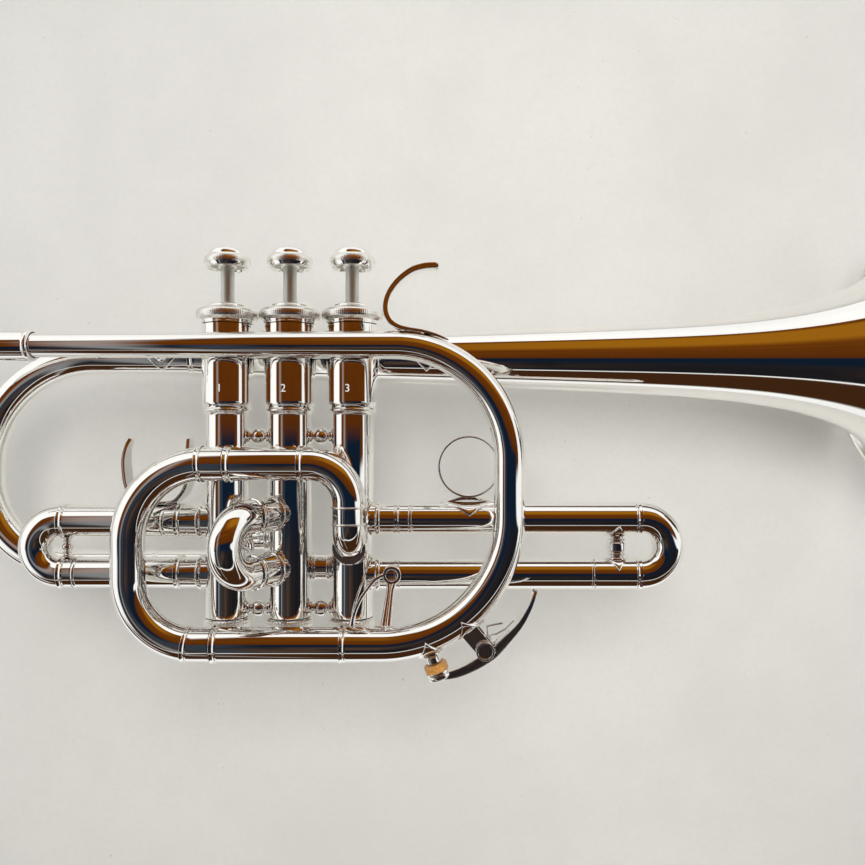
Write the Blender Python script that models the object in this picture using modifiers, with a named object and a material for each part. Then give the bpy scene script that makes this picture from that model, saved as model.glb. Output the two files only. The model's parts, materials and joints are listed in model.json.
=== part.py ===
"""B-flat cornet, long model with a large rear bell bow, as separate parts with real joints.

Lengths in the constants are millimetres; metres() turns them into Blender's units.
Frame: the origin is on the middle valve's axis, on the flat bottom of its bottom cap. +X
points to the bell, +Z points up the valves to their buttons, and +Y to the player's left.
Heights in the constants are counted from a level BASE_HEIGHT above the origin, 6 mm above
the casings' lower ends; every part hangs on an empty at that height.
"""
import math

import bmesh
import bpy
from mathutils import Vector

# Driving dimensions ------------------------------------------------------------------------
VALVE_SPACING = 26.5
BASE_HEIGHT = 11.8
VALVE_TRAVEL = 14.5
CASING_TOP = 117.0
CASING_BOTTOM = -6.0
BALUSTER_BOTTOM = 80.3
CASING_RADIUS = 9.2
BALUSTER_RADIUS = 10.8
BORE_RADIUS = 8.5
PISTON_RADIUS = 8.35
SPRING_CHAMBER_RADIUS = 9.6
GUIDE_SEAT_RADIUS = 8.85
PISTON_BOTTOM = 5.5
PISTON_TOP = 66.0
GUIDE_TOP = 69.4
STEM_RADIUS = 2.9
FLANGE_BOTTOM = 98.5
FLANGE_TOP = 100.3
BUTTON_UNDERSIDE = 141.2
BUTTON_RIM = 143.6
BUTTON_TOP = 149.0
BUTTON_RADIUS = 9.5
CAP_TOP = 126.1
GAP = 0.3
SOLDER = 0.45

SLIDE_RADIUS = 6.6
MAIN_SLIDE_RADIUS = 6.8
SLIDE_WALL = 0.5
LEG_RADIUS = 5.72
FERRULE_RADIUS = 7.3
PORT_RADIUS = 5.4

PIPE_Y = -17.5
PIPE_Z = 106.8
PIPE_RIGHT = 43.0
RECEIVER_LEFT = -152.0
RECEIVER_RIGHT = -99.7
FRONT_BOW_X = 91.6
FRONT_BOW_UPPER_BEND = 46.0
FRONT_BOW_LOWER_BEND = 51.6
LOWER_LEG_Z = -13.7
FRONT_BOW_END = 26.2

MAIN_UPPER_Z = 59.0
MAIN_LEFT_X = -62.0
MAIN_UPPER_BEND = 31.0
MAIN_LOWER_BEND = 27.0
MAIN_UPPER_SEAM = -22.7
MAIN_LOWER_SEAM = -27.9
DROP_X = 27.0
INLET_Z = 25.0
KNUCKLE_BEND = 9.4

FIRST_UPPER_Z = 34.2
FIRST_LOWER_Z = 12.2
FIRST_CROOK_X = -97.3
FIRST_UPPER_SEAM = -53.3
FIRST_LOWER_SEAM = -90.6
SADDLE_X = -55.7

SECOND_UPPER_Z = 38.0
SECOND_LOWER_Z = 15.2
SECOND_REARWARD = math.radians(33.0)
SECOND_SEAM = 21.8
SECOND_CROOK = 24.6

THIRD_UPPER_Z = 35.0
THIRD_LOWER_Z = 11.6
THIRD_CROOK_X = 149.0
THIRD_UPPER_SEAM = 52.0
THIRD_LOWER_SEAM = 128.7
RING_X = 76.0
RING_Z = 57.2
RING_RADIUS = 13.2

CROSSOVER_Y = 3.2
CROSSOVER_RADIUS = 5.75
CROSSOVER_12_Z = 26.8
CROSSOVER_23_Z = 14.0

BELL_Y = 22.0
BELL_Z = 105.3
BELL_TAIL_X = -45.0
BELL_RIM_X = 278.0
BELL_RIM_RADIUS = 59.5
BELL_WALL = 0.6
BOW_LEFT_X = -142.0
BOW_LOWER_Z = 11.5
BOW_UPPER_BEND = 50.0
BOW_LOWER_BEND = 40.0
LEG_BRACE_EYE = (43.7, -8.5, 12.5)

# The water key sits on the front bow's lower bend; angles are measured from straight down.
KEY_CENTRE = (FRONT_BOW_X - FRONT_BOW_LOWER_BEND, LOWER_LEG_Z + FRONT_BOW_LOWER_BEND)
KEY_BORE_ANGLE = 20.0
KEY_SADDLE_ANGLE = 38.0
KEY_TUBE_OUTSIDE = FRONT_BOW_LOWER_BEND + 6.9
KEY_PIVOT = (81.4, -14.8)
KEY_TIP = (102.0, 8.0)

# Facets around the casings, pistons and bottom caps, which must line up to leave room.
CASING_SIDES = 16

MM = 0.001


def metres(point):
    """A point given in millimetres, in Blender's metres."""
    return Vector(point) * MM


# Scene set-up ------------------------------------------------------------------------------
for old in list(bpy.data.objects):
    bpy.data.objects.remove(old, do_unlink=True)

PARTS = bpy.data.collections.new("cornet")
CUTTERS = bpy.data.collections.new("cutters")
for group in (PARTS, CUTTERS):
    bpy.context.scene.collection.children.link(group)


def make_material(name, colour, roughness, metallic):
    """A plain Principled material."""
    material = bpy.data.materials.new(name)
    material.use_nodes = True
    shader = material.node_tree.nodes["Principled BSDF"]
    shader.inputs["Base Color"].default_value = (*colour, 1.0)
    shader.inputs["Roughness"].default_value = roughness
    shader.inputs["Metallic"].default_value = metallic
    return material


SILVER = make_material("silver_plate", (0.93, 0.92, 0.88), 0.08, 1.0)
MONEL = make_material("monel", (0.62, 0.60, 0.55), 0.25, 1.0)
NICKEL = make_material("nickel_stem", (0.72, 0.71, 0.68), 0.22, 1.0)
STEEL = make_material("spring_steel", (0.45, 0.45, 0.46), 0.35, 1.0)
CORK = make_material("cork", (0.72, 0.50, 0.26), 0.80, 0.0)
NYLON = make_material("nylon", (0.90, 0.89, 0.84), 0.45, 0.0)


# Builders ----------------------------------------------------------------------------------
def place(name, data, material, collection=None):
    """A new object that holds this data, in the part's collection unless told otherwise."""
    thing = bpy.data.objects.new(name, data)
    if not data.materials:
        data.materials.append(material)
    (collection or PARTS).objects.link(thing)
    return thing


def turned(name, profile, material, base=(0, 0, 0), axis=(0, 0, 1), sides=12, ring=False):
    """A body turned about an axis; the profile is (radius, height) down its outer side."""
    count = len(profile)
    edges = [(i, i + 1) for i in range(count - 1)]
    if ring:
        edges.append((count - 1, 0))
    mesh = bpy.data.meshes.new(name)
    mesh.from_pydata([metres((radius, 0, height)) for radius, height in profile], edges, [])
    body = place(name, mesh, material)
    body.location = metres(base)
    body.rotation_mode = "QUATERNION"
    body.rotation_quaternion = Vector(axis).to_track_quat("Z", "Y")
    screw = body.modifiers.new("turn", "SCREW")
    screw.steps = sides
    screw.render_steps = sides
    screw.use_merge_vertices = True
    screw.merge_threshold = 0.00001
    return body


def rod(name, start, end, radius, material, sides=12):
    """A solid cylinder between two points."""
    axis = Vector(end) - Vector(start)
    return turned(name, [(0, axis.length), (radius, axis.length), (radius, 0), (0, 0)],
                  material, start, axis, sides)


def sleeve(name, start, end, radius, bore, material, collars=(), sides=10):
    """A straight tube between two points, with (position, width, radius) collars along it."""
    axis = Vector(end) - Vector(start)
    length = axis.length
    outside = [(radius, length)]
    for position, width, collar in sorted(collars, reverse=True):
        top = min(position + width / 2, length)
        bottom = max(position - width / 2, 0.0)
        if top == length:
            outside = [(collar, top)]
        else:
            outside += [(radius, top), (collar, top - 0.2)]
        if bottom == 0.0:
            outside += [(collar, bottom)]
        else:
            outside += [(collar, bottom + 0.2), (radius, bottom)]
    if not collars or outside[-1][1] > 0.0:
        outside.append((radius, 0.0))
    return turned(name, outside + [(bore, 0.0), (bore, length)], material, start, axis, sides, True)


def swept(name, path, radii, material, wall=None, sides=10):
    """A round bar along a path or, with a wall thickness, an open tube along it."""
    curve = bpy.data.curves.new(name, "CURVE")
    curve.dimensions = "3D"
    curve.bevel_depth = MM
    curve.bevel_resolution = sides // 2 - 2
    curve.use_fill_caps = wall is None
    spline = curve.splines.new("POLY")
    spline.points.add(len(path) - 1)
    for knot, point, radius in zip(spline.points, path, radii):
        knot.co = (*metres(point), 1.0)
        knot.radius = radius
    tube = place(name, curve, material)
    if wall is not None:
        shell = tube.modifiers.new("wall", "SOLIDIFY")
        shell.thickness = wall * MM
        shell.offset = -1.0
    return tube


def bent(corners, bends, steps=6):
    """A path through corners, each inner corner rounded to its bend radius."""
    corners = [Vector(corner) for corner in corners]
    path = [corners[0]]
    for before, corner, after, bend in zip(corners, corners[1:], corners[2:], bends):
        inward = (before - corner).normalized()
        outward = (after - corner).normalized()
        half = inward.angle(outward) / 2
        centre = corner + (inward + outward).normalized() * (bend / math.sin(half))
        start = corner + inward * (bend / math.tan(half)) - centre
        end = corner + outward * (bend / math.tan(half)) - centre
        sweep = start.angle(end)
        for i in range(steps + 1):
            turn = sweep * i / steps
            blend = start * math.sin(sweep - turn) + end * math.sin(turn)
            path.append(centre + blend / math.sin(sweep))
    path.append(corners[-1])
    return path


def outline_plate(name, outline, thickness, material, base, across, along):
    """A flat plate: a closed outline in the plane of two directions, centred on that plane."""
    curve = bpy.data.curves.new(name, "CURVE")
    curve.dimensions = "2D"
    curve.fill_mode = "BOTH"
    curve.extrude = thickness / 2 * MM
    spline = curve.splines.new("POLY")
    spline.points.add(len(outline) - 1)
    for knot, (u, v) in zip(spline.points, outline):
        knot.co = (u * MM, v * MM, 0.0, 1.0)
    spline.use_cyclic_u = True
    plate = place(name, curve, material)
    across = Vector(across).normalized()
    along = Vector(along).normalized()
    matrix = plate.matrix_world.copy().to_3x3()
    matrix.col[0] = across
    matrix.col[1] = along
    matrix.col[2] = across.cross(along)
    plate.matrix_world = matrix.to_4x4()
    plate.location = metres(base)
    return plate


def strip_outline(centreline, widths):
    """The closed outline of a strip that follows a plane centreline."""
    points = [Vector(point) for point in centreline]
    left = []
    right = []
    for i, point in enumerate(points):
        before = points[max(i - 1, 0)]
        after = points[min(i + 1, len(points) - 1)]
        along = (after - before).normalized()
        side = Vector((-along.y, along.x)) * widths[i] / 2
        left.append(point + side)
        right.append(point - side)
    return [tuple(point) for point in left + right[::-1]]


def as_mesh(thing):
    """Replace an object by its evaluated shape as a plain mesh, its loose caps welded."""
    bpy.context.view_layer.update()
    graph = bpy.context.evaluated_depsgraph_get()
    mesh = bpy.data.meshes.new_from_object(thing.evaluated_get(graph))
    work = bmesh.new()
    work.from_mesh(mesh)
    bmesh.ops.remove_doubles(work, verts=work.verts, dist=0.000001)
    work.to_mesh(mesh)
    work.free()
    name = thing.name
    matrix = thing.matrix_world.copy()
    material = thing.data.materials[0]
    bpy.data.objects.remove(thing, do_unlink=True)
    solid = place(name, mesh, material)
    solid.matrix_world = matrix
    return solid


def as_cutter(thing):
    """Keep an object only as an operand of other objects' Boolean modifiers."""
    solid = as_mesh(thing)
    PARTS.objects.unlink(solid)
    CUTTERS.objects.link(solid)
    solid.hide_render = True
    solid.display_type = "WIRE"
    return solid


def combine(thing, operation, operands):
    """Cut or join a mesh object with cutters, one exact Boolean modifier each."""
    for operand in operands:
        boolean = thing.modifiers.new(operand.name, "BOOLEAN")
        boolean.operation = operation
        boolean.solver = "EXACT"
        boolean.object = operand
    return thing


def ball_spindle(name, start, end, foot, waist, bead, material):
    """A turned brace: a flat foot at each end and a bead in the middle."""
    length = (Vector(end) - Vector(start)).length
    middle = length / 2
    profile = [(0, length), (foot, length), (foot, length - 0.9), (waist, length - 1.6),
               (waist, middle + bead * 0.8), (bead, middle + 0.5), (bead, middle - 0.5),
               (waist, middle - bead * 0.8), (waist, 1.6), (foot, 0.9), (foot, 0), (0, 0)]
    return turned(name, profile, material, start, Vector(end) - Vector(start), 8)


# Valves ------------------------------------------------------------------------------------
VALVE_X = {1: -VALVE_SPACING, 2: 0.0, 3: VALVE_SPACING}
SECOND_AWAY = Vector((-math.sin(SECOND_REARWARD), -math.cos(SECOND_REARWARD), 0))

# Where each valve's tubes meet its casing: (direction, offset across it, height, bore).
REAR = Vector((-1, 0, 0))
FRONT = Vector((1, 0, 0))
LEFT = Vector((0, 1, 0))
RIGHT = Vector((0, -1, 0))
CROSS = Vector((0, CROSSOVER_Y, 0))
NONE = Vector((0, 0, 0))
CROSS_BORE = 4.9
PORTS = {
    1: [(REAR, NONE, FIRST_UPPER_Z, PORT_RADIUS), (REAR, NONE, FIRST_LOWER_Z, PORT_RADIUS),
        (LEFT, NONE, BOW_LOWER_Z, PORT_RADIUS), (FRONT, CROSS, CROSSOVER_12_Z, CROSS_BORE)],
    2: [(SECOND_AWAY, NONE, SECOND_UPPER_Z, PORT_RADIUS),
        (SECOND_AWAY, NONE, SECOND_LOWER_Z, PORT_RADIUS),
        (REAR, CROSS, CROSSOVER_12_Z, CROSS_BORE), (FRONT, CROSS, CROSSOVER_23_Z, CROSS_BORE)],
    3: [(FRONT, NONE, THIRD_UPPER_Z, PORT_RADIUS), (FRONT, NONE, THIRD_LOWER_Z, PORT_RADIUS),
        (RIGHT, NONE, INLET_Z, PORT_RADIUS), (REAR, CROSS, CROSSOVER_23_Z, CROSS_BORE)],
}

# The straight drillings through each piston: (height and direction in, height and direction
# out). The first joins the open ports; the others line up with a slide when the valve is down.
PASSAGE_RADIUS = 3.3
DOWN = VALVE_TRAVEL
PASSAGES = {
    1: [(FRONT, CROSSOVER_12_Z, LEFT, BOW_LOWER_Z),
        (FRONT, CROSSOVER_12_Z + DOWN, REAR, FIRST_UPPER_Z + DOWN),
        (REAR, FIRST_LOWER_Z + DOWN, LEFT, BOW_LOWER_Z + DOWN)],
    2: [(FRONT, CROSSOVER_23_Z, REAR, CROSSOVER_12_Z),
        (REAR, CROSSOVER_12_Z + DOWN, SECOND_AWAY, SECOND_UPPER_Z + DOWN),
        (SECOND_AWAY, SECOND_LOWER_Z + DOWN, FRONT, CROSSOVER_23_Z + DOWN)],
    3: [(RIGHT, INLET_Z, REAR, CROSSOVER_23_Z),
        (RIGHT, INLET_Z + DOWN, FRONT, THIRD_UPPER_Z + DOWN),
        (FRONT, THIRD_LOWER_Z + DOWN, REAR, CROSSOVER_23_Z + DOWN)],
}

CASING_CUTTERS = {}
for number, x in VALVE_X.items():
    core = rod(f"casing_{number}_clearance", (x, 0, CASING_BOTTOM - 1), (x, 0, CASING_TOP),
               CASING_RADIUS + GAP, SILVER, CASING_SIDES)
    CASING_CUTTERS[number] = as_cutter(core)


def build_casing(number, x):
    """The valve casing: a narrow tube below a wider baluster, with its tube ports cut through."""
    shoulder = GUIDE_TOP - 2.6
    profile = [(BALUSTER_RADIUS, CASING_TOP), (BALUSTER_RADIUS, BALUSTER_BOTTOM + 1.6),
               (BALUSTER_RADIUS + 0.5, BALUSTER_BOTTOM + 0.4),
               (CASING_RADIUS, BALUSTER_BOTTOM - 1.8), (CASING_RADIUS, CASING_BOTTOM),
               (BORE_RADIUS, CASING_BOTTOM), (BORE_RADIUS, shoulder),
               (GUIDE_SEAT_RADIUS, shoulder), (GUIDE_SEAT_RADIUS, BALUSTER_BOTTOM),
               (SPRING_CHAMBER_RADIUS, BALUSTER_BOTTOM + 1), (SPRING_CHAMBER_RADIUS, CASING_TOP)]
    casing = as_mesh(turned(f"casing_{number}", profile, SILVER, (x, 0, 0),
                            sides=CASING_SIDES, ring=True))
    drills = []
    for i, (away, offset, height, radius) in enumerate(PORTS[number]):
        start = Vector((x, 0, height)) + offset
        drill = rod(f"port_{number}_{i}", start, start + away * 14, radius, SILVER, 10)
        drills.append(as_cutter(drill))
    return combine(casing, "DIFFERENCE", drills)


def build_piston(number, x):
    """The piston: a solid plug with its slanting air passages drilled through."""
    profile = [(0, PISTON_TOP), (PISTON_RADIUS - 0.3, PISTON_TOP),
               (PISTON_RADIUS, PISTON_TOP - 0.3), (PISTON_RADIUS, PISTON_BOTTOM + 0.3),
               (PISTON_RADIUS - 0.3, PISTON_BOTTOM), (0, PISTON_BOTTOM)]
    piston = as_mesh(turned(f"piston_{number}", profile, MONEL, (x, 0, 0), sides=CASING_SIDES))
    drills = []
    for i, (side_in, height_in, side_out, height_out) in enumerate(PASSAGES[number]):
        start = Vector((x, 0, height_in)) + side_in * PISTON_RADIUS
        end = Vector((x, 0, height_out)) + side_out * PISTON_RADIUS
        reach = (end - start).normalized() * 6
        drill = rod(f"passage_{number}_{i}", start - reach, end + reach, PASSAGE_RADIUS, MONEL, 8)
        drills.append(as_cutter(drill))
    return combine(piston, "DIFFERENCE", drills)


def build_caps(number, x):
    """The screwed caps: the top one lets the stem through, the bottom one is a shallow cup."""
    hole = STEM_RADIUS + 0.6
    top = [(hole + 0.6, CAP_TOP), (8.3, CAP_TOP - 0.4), (9.0, CAP_TOP - 1.6),
           (11.2, 124.0), (12.85, 123.2), (12.85, 119.4), (11.3, 118.6),
           (11.3, CASING_TOP + GAP), (9.0, CASING_TOP + GAP), (9.0, 123.0), (hole, 123.0),
           (hole, CAP_TOP - 0.4)]
    turned(f"top_cap_{number}", top, SILVER, (x, 0, 0), sides=14, ring=True)
    floor = PISTON_BOTTOM - VALVE_TRAVEL - 0.6
    cup = [(0, floor), (8.55, floor + 0.4), (8.55, CASING_BOTTOM - GAP),
           (9.2, CASING_BOTTOM - GAP), (10.0, -7.0), (10.0, -9.8), (8.8, -10.6),
           (5.6, -BASE_HEIGHT), (0, -BASE_HEIGHT)]
    turned(f"bottom_cap_{number}", cup, SILVER, (x, 0, 0), sides=CASING_SIDES)


def build_stem(number, x):
    """The rod from piston to button, with the flange that presses on the spring."""
    profile = [(0, BUTTON_UNDERSIDE - GAP), (STEM_RADIUS, BUTTON_UNDERSIDE - GAP),
               (STEM_RADIUS, FLANGE_TOP), (7.6, FLANGE_TOP), (7.6, FLANGE_BOTTOM),
               (STEM_RADIUS, FLANGE_BOTTOM), (STEM_RADIUS, PISTON_TOP + GAP), (0, PISTON_TOP + GAP)]
    turned(f"stem_{number}", profile, NICKEL, (x, 0, 0), sides=12)


def build_button(number, x):
    """The finger button: a knurled rim around a shallow pearl seat, on a short boss."""
    profile = [(0, BUTTON_TOP - 2.6), (5.6, BUTTON_TOP - 2.3), (7.4, BUTTON_TOP - 0.3),
               (8.6, BUTTON_TOP), (BUTTON_RADIUS, BUTTON_TOP - 1.6), (BUTTON_RADIUS, BUTTON_RIM),
               (8.6, BUTTON_RIM - 1.0), (4.6, BUTTON_RIM - 0.7), (3.6, BUTTON_UNDERSIDE),
               (0, BUTTON_UNDERSIDE)]
    turned(f"button_{number}", profile, SILVER, (x, 0, 0), sides=14)


def build_guide(number, x):
    """The piston guide: a ring that sits on the casing's shoulder and centres the stem."""
    profile = [(8.6, GUIDE_TOP), (8.6, GUIDE_TOP - 2.2), (3.6, GUIDE_TOP - 2.2), (3.6, GUIDE_TOP)]
    turned(f"guide_{number}", profile, NYLON, (x, 0, 0), sides=12, ring=True)


def build_spring(number, x):
    """The return spring, between the guide and the stem's flange."""
    turns = 5.0
    points_per_turn = 6
    coil_radius = 6.2
    wire_radius = 0.45
    low = GUIDE_TOP + wire_radius + 0.2
    high = FLANGE_BOTTOM - wire_radius - 0.2
    count = int(turns * points_per_turn)
    path = []
    for i in range(count + 1):
        angle = 2 * math.pi * i / points_per_turn
        path.append((x + coil_radius * math.cos(angle), coil_radius * math.sin(angle),
                     low + (high - low) * i / count))
    spring = swept(f"spring_{number}", path, [wire_radius] * len(path), STEEL, sides=4)
    as_mesh(spring)


for number, x in VALVE_X.items():
    build_casing(number, x)
    build_piston(number, x)
    build_caps(number, x)
    build_stem(number, x)
    build_button(number, x)
    build_guide(number, x)
    build_spring(number, x)


def fit_to_casing(thing, *numbers):
    """Trim a tube where it meets the valve casings."""
    return combine(as_mesh(thing), "DIFFERENCE", [CASING_CUTTERS[number] for number in numbers])


# Braces and crossover tubes between the casings ------------------------------------------------
def build_crossover(name, left, height):
    """A short tube between two casings."""
    x = VALVE_X[left]
    tube = sleeve(name, (x + 1, CROSSOVER_Y, height), (x + VALVE_SPACING - 1, CROSSOVER_Y, height),
                  CROSSOVER_RADIUS, CROSS_BORE, SILVER)
    fit_to_casing(tube, left, left + 1)


build_crossover("crossover_12", 1, CROSSOVER_12_Z)
build_crossover("crossover_23", 2, CROSSOVER_23_Z)


def build_casing_braces():
    """The four turned braces between the casings, each with a large bead."""
    length = VALVE_SPACING - 2 * (CASING_RADIUS + GAP)
    middle = length / 2
    profile = [(0, length), (2.9, length), (2.9, length - 0.8), (2.5, length - 1.2),
               (3.5, middle + 0.8), (3.5, middle - 0.8), (2.5, 1.2), (2.9, 0.8), (2.9, 0), (0, 0)]
    for left in (1, 2):
        for label, height in (("upper", 70.0), ("lower", -2.8)):
            start = (VALVE_X[left] + CASING_RADIUS + GAP, 0, height)
            name = f"casing_brace_{left}{left + 1}_{label}"
            turned(name, profile, SILVER, start, FRONT, 10)


build_casing_braces()


# Leadpipe, front bow and the main slide's receiving tubes ---------------------------------------
def build_leadpipe():
    """The mouthpiece receiver and the tapered leadpipe, which runs on into the front bow."""
    length = RECEIVER_RIGHT - RECEIVER_LEFT
    profile = [(5.9, length), (6.9, length - 0.5), (6.9, length - 3.2), (6.1, length - 3.8),
               (6.3, 3.5), (7.1, 3.1), (7.1, 0), (5.3, 0), (4.6, 30), (5.15, 32), (5.15, length)]
    turned("mouthpiece_receiver", profile, SILVER, (RECEIVER_LEFT, PIPE_Y, PIPE_Z), FRONT, 16, True)
    swept("leadpipe", [(RECEIVER_RIGHT - 12, PIPE_Y, PIPE_Z), (-30, PIPE_Y, PIPE_Z),
                       (PIPE_RIGHT - GAP, PIPE_Y, PIPE_Z)], [4.8, 5.2, 5.6], SILVER, 0.6)


def build_front_bow():
    """The large front bow, from the leadpipe round to the lower leg."""
    corners = [(PIPE_RIGHT, PIPE_Y, PIPE_Z), (FRONT_BOW_X, PIPE_Y, PIPE_Z),
               (FRONT_BOW_X, PIPE_Y, LOWER_LEG_Z), (FRONT_BOW_END + GAP, PIPE_Y, LOWER_LEG_Z)]
    path = bent(corners, [FRONT_BOW_UPPER_BEND, FRONT_BOW_LOWER_BEND], 6)
    radii = [5.7 + 1.2 * i / (len(path) - 1) for i in range(len(path))]
    bow = as_mesh(swept("front_bow", path, radii, SILVER, 0.6))
    hole = key_point(KEY_BORE_ANGLE, FRONT_BOW_LOWER_BEND)
    drill = rod("water_hole", hole, key_point(KEY_BORE_ANGLE, FRONT_BOW_LOWER_BEND + 12), 1.6,
                SILVER, 8)
    combine(bow, "DIFFERENCE", [as_cutter(drill)])


def key_point(angle, radius, y=PIPE_Y):
    """A point on the front bow's lower bend, by angle from straight down and radius."""
    turn = math.radians(angle)
    return (KEY_CENTRE[0] + radius * math.sin(turn), y, KEY_CENTRE[1] - radius * math.cos(turn))


def build_main_receivers():
    """The fixed tubes that the main tuning slide runs in, and the elbow into the third valve."""
    lower_length = FRONT_BOW_END - MAIN_LOWER_SEAM
    sleeve("main_slide_tube_lower", (MAIN_LOWER_SEAM, PIPE_Y, LOWER_LEG_Z),
           (FRONT_BOW_END, PIPE_Y, LOWER_LEG_Z), 6.9, 6.25, SILVER,
           [(0.9, 1.8, 7.5), (lower_length - 1.4, 2.8, 7.7)])
    upper_end = 9.4
    sleeve("main_slide_tube_upper", (MAIN_UPPER_SEAM, PIPE_Y, MAIN_UPPER_Z),
           (upper_end, PIPE_Y, MAIN_UPPER_Z), 6.8, 6.2, SILVER,
           [(0.9, 1.8, 7.4), (upper_end - MAIN_UPPER_SEAM - 1.2, 2.4, 7.6)])
    corners = [(upper_end + GAP, PIPE_Y, MAIN_UPPER_Z), (DROP_X, PIPE_Y, MAIN_UPPER_Z),
               (DROP_X, PIPE_Y, INLET_Z), (DROP_X, -4, INLET_Z)]
    path = bent(corners, [16.0, KNUCKLE_BEND], 5)
    elbow = swept("entry_elbow", path, [6.8] * len(path), SILVER, 0.5)
    fit_to_casing(elbow, 3)


build_leadpipe()
build_front_bow()
build_main_receivers()


# The four slides -------------------------------------------------------------------------------
def with_ferrules(crook, radius, ferrules):
    """The crook's path and radii with a raised band at each (segment, position) along it."""
    path = []
    radii = []
    for i, point in enumerate(crook):
        path.append(Vector(point))
        radii.append(radius)
        for segment, centre in ferrules:
            if segment % len(crook) == i:
                along = (Vector(crook[(i + 1) % len(crook)]) - Vector(point)).normalized()
                for offset, raised in ((-1.3, 0.0), (-1.1, 0.65), (1.1, 0.65), (1.3, 0.0)):
                    path.append(Vector(centre) + along * offset)
                    radii.append(radius + raised)
    return path, radii


def build_crook(name, legs, crook, radius, ferrules):
    """A slide: thin legs at both ends of a full-size crook, which carries its ferrules."""
    path, radii = with_ferrules(crook, radius, ferrules)
    whole = legs[0] + path + legs[1]
    return as_mesh(swept(name, whole, [LEG_RADIUS] * 2 + radii + [LEG_RADIUS] * 2, SILVER,
                         SLIDE_WALL))


def build_main_slide():
    """The main tuning slide, which draws out towards the player."""
    corners = [(MAIN_UPPER_SEAM - 1.2, PIPE_Y, MAIN_UPPER_Z), (MAIN_LEFT_X, PIPE_Y, MAIN_UPPER_Z),
               (MAIN_LEFT_X, PIPE_Y, LOWER_LEG_Z), (MAIN_LOWER_SEAM - 1.2, PIPE_Y, LOWER_LEG_Z)]
    path = bent(corners, [MAIN_UPPER_BEND, MAIN_LOWER_BEND], 5)
    legs = [[(6.0, PIPE_Y, MAIN_UPPER_Z), (MAIN_UPPER_SEAM - GAP, PIPE_Y, MAIN_UPPER_Z)],
            [(MAIN_LOWER_SEAM - GAP, PIPE_Y, LOWER_LEG_Z), (10.0, PIPE_Y, LOWER_LEG_Z)]]
    ferrules = [(0, (-28.8, PIPE_Y, MAIN_UPPER_Z)), (-2, (-33.0, PIPE_Y, LOWER_LEG_Z))]
    build_crook("main_slide", legs, path, MAIN_SLIDE_RADIUS, ferrules)


def build_first_slide():
    """The first valve's slide with its thumb saddle, drawn out towards the player."""
    x = VALVE_X[1]
    bend = (FIRST_UPPER_Z - FIRST_LOWER_Z) / 2
    left = FIRST_CROOK_X - bend
    path = bent([(FIRST_UPPER_SEAM - 1.2, 0, FIRST_UPPER_Z), (left, 0, FIRST_UPPER_Z),
                 (left, 0, FIRST_LOWER_Z), (FIRST_LOWER_SEAM - 1.2, 0, FIRST_LOWER_Z)],
                [bend, bend], 4)
    legs = [[(x - 11.5, 0, FIRST_UPPER_Z), (FIRST_UPPER_SEAM - GAP, 0, FIRST_UPPER_Z)],
            [(FIRST_LOWER_SEAM - GAP, 0, FIRST_LOWER_Z), (-45, 0, FIRST_LOWER_Z)]]
    ferrules = [(0, (-94.0, 0, FIRST_UPPER_Z)), (-2, (-94.2, 0, FIRST_LOWER_Z))]
    slide = build_crook("first_slide", legs, path, SLIDE_RADIUS, ferrules)
    brace = ball_spindle("first_slide_brace", (-94.6, 0, FIRST_LOWER_Z + SLIDE_RADIUS - SOLDER),
                         (-94.6, 0, FIRST_UPPER_Z - SLIDE_RADIUS + SOLDER), 3.0, 1.5, 2.6, SILVER)
    combine(slide, "UNION", [as_cutter(brace)])
    for label, height, seam in (("upper", FIRST_UPPER_Z, FIRST_UPPER_SEAM),
                                ("lower", FIRST_LOWER_Z, FIRST_LOWER_SEAM)):
        tube = sleeve(f"first_slide_tube_{label}", (seam, 0, height), (x - 4, 0, height),
                      SLIDE_RADIUS, SLIDE_RADIUS - SLIDE_WALL, SILVER,
                      [(0.7, 1.4, 7.0), (-46.5 - seam, 2.6, FERRULE_RADIUS)])
        fit_to_casing(tube, 1)


def build_second_slide():
    """The second valve's short slide, drawn out to the right and a little rearwards."""
    away = SECOND_AWAY
    up = Vector((0, 0, SECOND_UPPER_Z))
    low = Vector((0, 0, SECOND_LOWER_Z))
    bend = (SECOND_UPPER_Z - SECOND_LOWER_Z) / 2
    tip = SECOND_CROOK + bend
    path = bent([up + away * (SECOND_SEAM + 1.2), up + away * tip, low + away * tip,
                 low + away * (SECOND_SEAM + 1.2)], [bend, bend], 4)
    legs = [[up + away * 11.5, up + away * (SECOND_SEAM + GAP)],
            [low + away * (SECOND_SEAM + GAP), low + away * 11.5]]
    slide = build_crook("second_slide", legs, path, SLIDE_RADIUS, [])
    middle = Vector((0, 0, (SECOND_UPPER_Z + SECOND_LOWER_Z) / 2))
    profile = [(0, 7.0), (2.3, 7.0), (2.9, 6.4), (2.9, 4.9), (1.5, 4.3), (1.5, 1.5), (2.2, 0.6),
               (2.2, 0), (0, 0)]
    root = middle + away * (tip - SLIDE_RADIUS + SOLDER)
    knob = turned("second_slide_knob", profile, SILVER, root, -away, 12)
    combine(slide, "UNION", [as_cutter(knob)])
    for label, height in (("upper", up), ("lower", low)):
        tube = sleeve(f"second_slide_tube_{label}", height + away * 4, height + away * SECOND_SEAM,
                      SLIDE_RADIUS, SLIDE_RADIUS - SLIDE_WALL, SILVER,
                      [(SECOND_SEAM - 5.0, 2.0, FERRULE_RADIUS)])
        fit_to_casing(tube, 2)


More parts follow.
